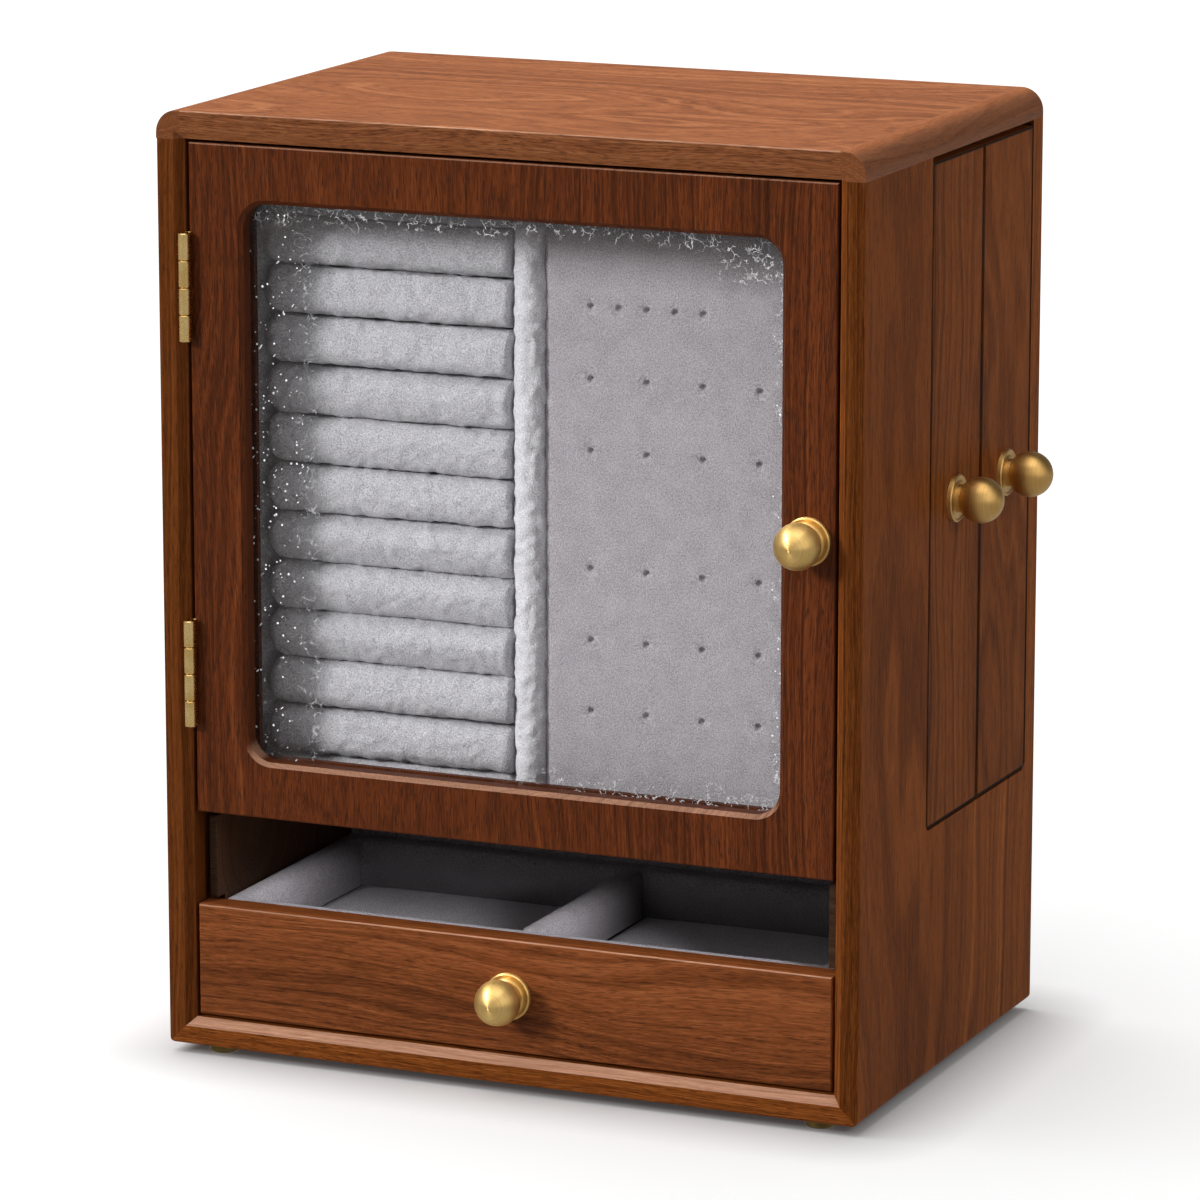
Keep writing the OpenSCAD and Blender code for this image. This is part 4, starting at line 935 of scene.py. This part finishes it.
def studio_floor():
    """A pale seamless floor that keeps the cabinet's shadow."""
    material, tree = shade_tree("paper_white_floor")
    diffuse = add(tree, "ShaderNodeBsdfDiffuse", {"Color": srgb("#E0E0E0")})
    camera, shown = seen_directly(tree)
    # Painted shadow: the paper's own share of light fades under the cabinet and round its footprint,
    # where its cast shadow is deepest
    low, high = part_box("bottom_panel")
    middle, half = (low + high) / 2, (high - low) / 2
    spot = add(tree, "ShaderNodeTexCoord").outputs["Object"]
    inner = half - Vector((6, 6, 0)) * MM
    off = spot
    for operation, other in (("SUBTRACT", middle), ("ABSOLUTE", (0, 0, 0)), ("SUBTRACT", inner),
                             ("MAXIMUM", (0, 0, 0)), ("MULTIPLY", (1, 1, 0))):
        off = add(tree, "ShaderNodeVectorMath", (off, tuple(other)), operation=operation)
    off = add(tree, "ShaderNodeVectorMath", (off,), operation="LENGTH").outputs["Value"]
    # It rises over 40 mm, steeply at first, from 0.03 to 0.48
    share = off
    for operation, number in (("DIVIDE", 0.040), ("MINIMUM", 1.0), ("POWER", 0.75),
                              ("MULTIPLY", 0.45), ("ADD", 0.03)):
        share = add(tree, "ShaderNodeMath", (share, number), operation=operation)
    share = add(tree, "ShaderNodeMath", (camera, share), operation="MULTIPLY")
    glow = add(tree, "ShaderNodeEmission", {"Color": srgb("#FFFFFF"), "Strength": share})
    lit = add(tree, "ShaderNodeAddShader", (diffuse, glow))
    # Brass and lacquer see a dim floor, so that it leaves no haze on the wood
    dim = add(tree, "ShaderNodeEmission", {"Color": srgb("#FFFFFF"), "Strength": 0.5})
    both = add(tree, "ShaderNodeMixShader", (shown, lit, dim))
    add(tree, "ShaderNodeOutputMaterial", {"Surface": both})
    size = 30.0
    mesh = bpy.data.meshes.new("studio_floor")
    mesh.from_pydata([(-size, -size, 0), (size, -size, 0), (size, size, 0), (-size, size, 0)], [],
                     [(0, 1, 2, 3)])
    floor = bpy.data.objects.new("studio_floor", mesh)
    mesh.materials.append(material)
    bpy.context.scene.collection.objects.link(floor)
    floor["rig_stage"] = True


def towards(azimuth, elevation):
    """Unit vector to a lamp; azimuth 0 is in front of the cabinet and 90 on its right."""
    a, e = math.radians(azimuth), math.radians(elevation)
    return Vector((math.sin(a) * math.cos(e), -math.cos(a) * math.cos(e), math.sin(e)))


KEY = towards(-38, 22)
TRAY = ("drawer_lining_pad", "drawer_floor_pads", "drawer_divider_pad", "bay_back")


def studio_light():
    """A key lamp from the left front, weaker ones from the front, the right and above, one of
    its own for the drawer and one for the brass, and round them a pale room: white behind the
    cabinet, softer where its brass looks out."""
    world = bpy.data.worlds.new("studio_world")
    bpy.context.scene.world = world
    world.use_nodes = True
    tree = world.node_tree
    tree.nodes.clear()
    camera, shown = seen_directly(tree)
    view = add(tree, "ShaderNodeTexCoord").outputs["Generated"]

    def glow(direction, low, high, amount):
        """A soft bright patch round a direction. Low and high are the cosines of the angles
        at which it begins and is full."""
        near = add(tree, "ShaderNodeVectorMath", (view, tuple(direction)),
                   operation="DOT_PRODUCT").outputs["Value"]
        return add(tree, "ShaderNodeMapRange", (near, low, high, 0.0, amount), **SMOOTH)

    room = 0.14
    for patch in (glow((0, -1, 0), -0.4, 0.2, 0.56), glow(towards(-157, 14), 0.75, 0.97, 0.12),
                  glow(KEY, 0.92, 0.985, 3.4), glow(towards(10, 76), 0.80, 0.95, 1.8),
                  glow(towards(62, 25), 0.80, 0.96, 0.7)):
        room = add(tree, "ShaderNodeMath", (room, patch), operation="ADD")
    level = add(tree, "ShaderNodeMix", {0: shown, 2: 0.15, 3: room})
    level = add(tree, "ShaderNodeMath", (level, camera), operation="MAXIMUM")
    background = add(tree, "ShaderNodeBackground", {"Color": srgb("#FFFFFF"), "Strength": level})
    add(tree, "ShaderNodeOutputWorld", {"Surface": background})
    pieces = {piece.name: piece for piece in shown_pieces()}
    brass_pieces = [name for name in pieces if "knob" in name or "hinge" in name or "hooks" in name]
    # (name, direction, angle, strength, what it lights where it doesn't light everything, shine)
    for name, direction, angle, strength, lights, shine in (
            ("key", KEY, 14, 2.8, [name for name in pieces if name not in TRAY], False),
            ("front", towards(-12, 32), 40, 0.5, None, False),
            ("drawer_lamp", towards(55, 20), 16, 2.9, TRAY, False),
            ("fill", towards(84, 18), 30, 0.9, list(pieces), False),
            ("overhead", towards(-95, 68), 70, 2.1, None, False),
            ("brass_lamp", towards(-52, 38), 16, 2.0, brass_pieces, True)):
        data = bpy.data.lights.new(name, "SUN")
        data.angle = math.radians(angle)
        data.energy = strength
        lamp = bpy.data.objects.new(name, data)
        lamp.rotation_euler = (-direction).to_track_quat("-Z", "Y").to_euler()
        # Lacquer and metal show the room's soft patches in place of the lamps
        lamp.visible_glossy = shine
        bpy.context.scene.collection.objects.link(lamp)
        if lights:
            lit = bpy.data.collections.new(f"lit_by_{name}")
            lamp.light_linking.receiver_collection = lit
            for item in lights:
                lit.objects.link(pieces[item])


camera_at_photograph()
studio_floor()
studio_light()
bpy.context.scene.view_settings.view_transform = "Standard"
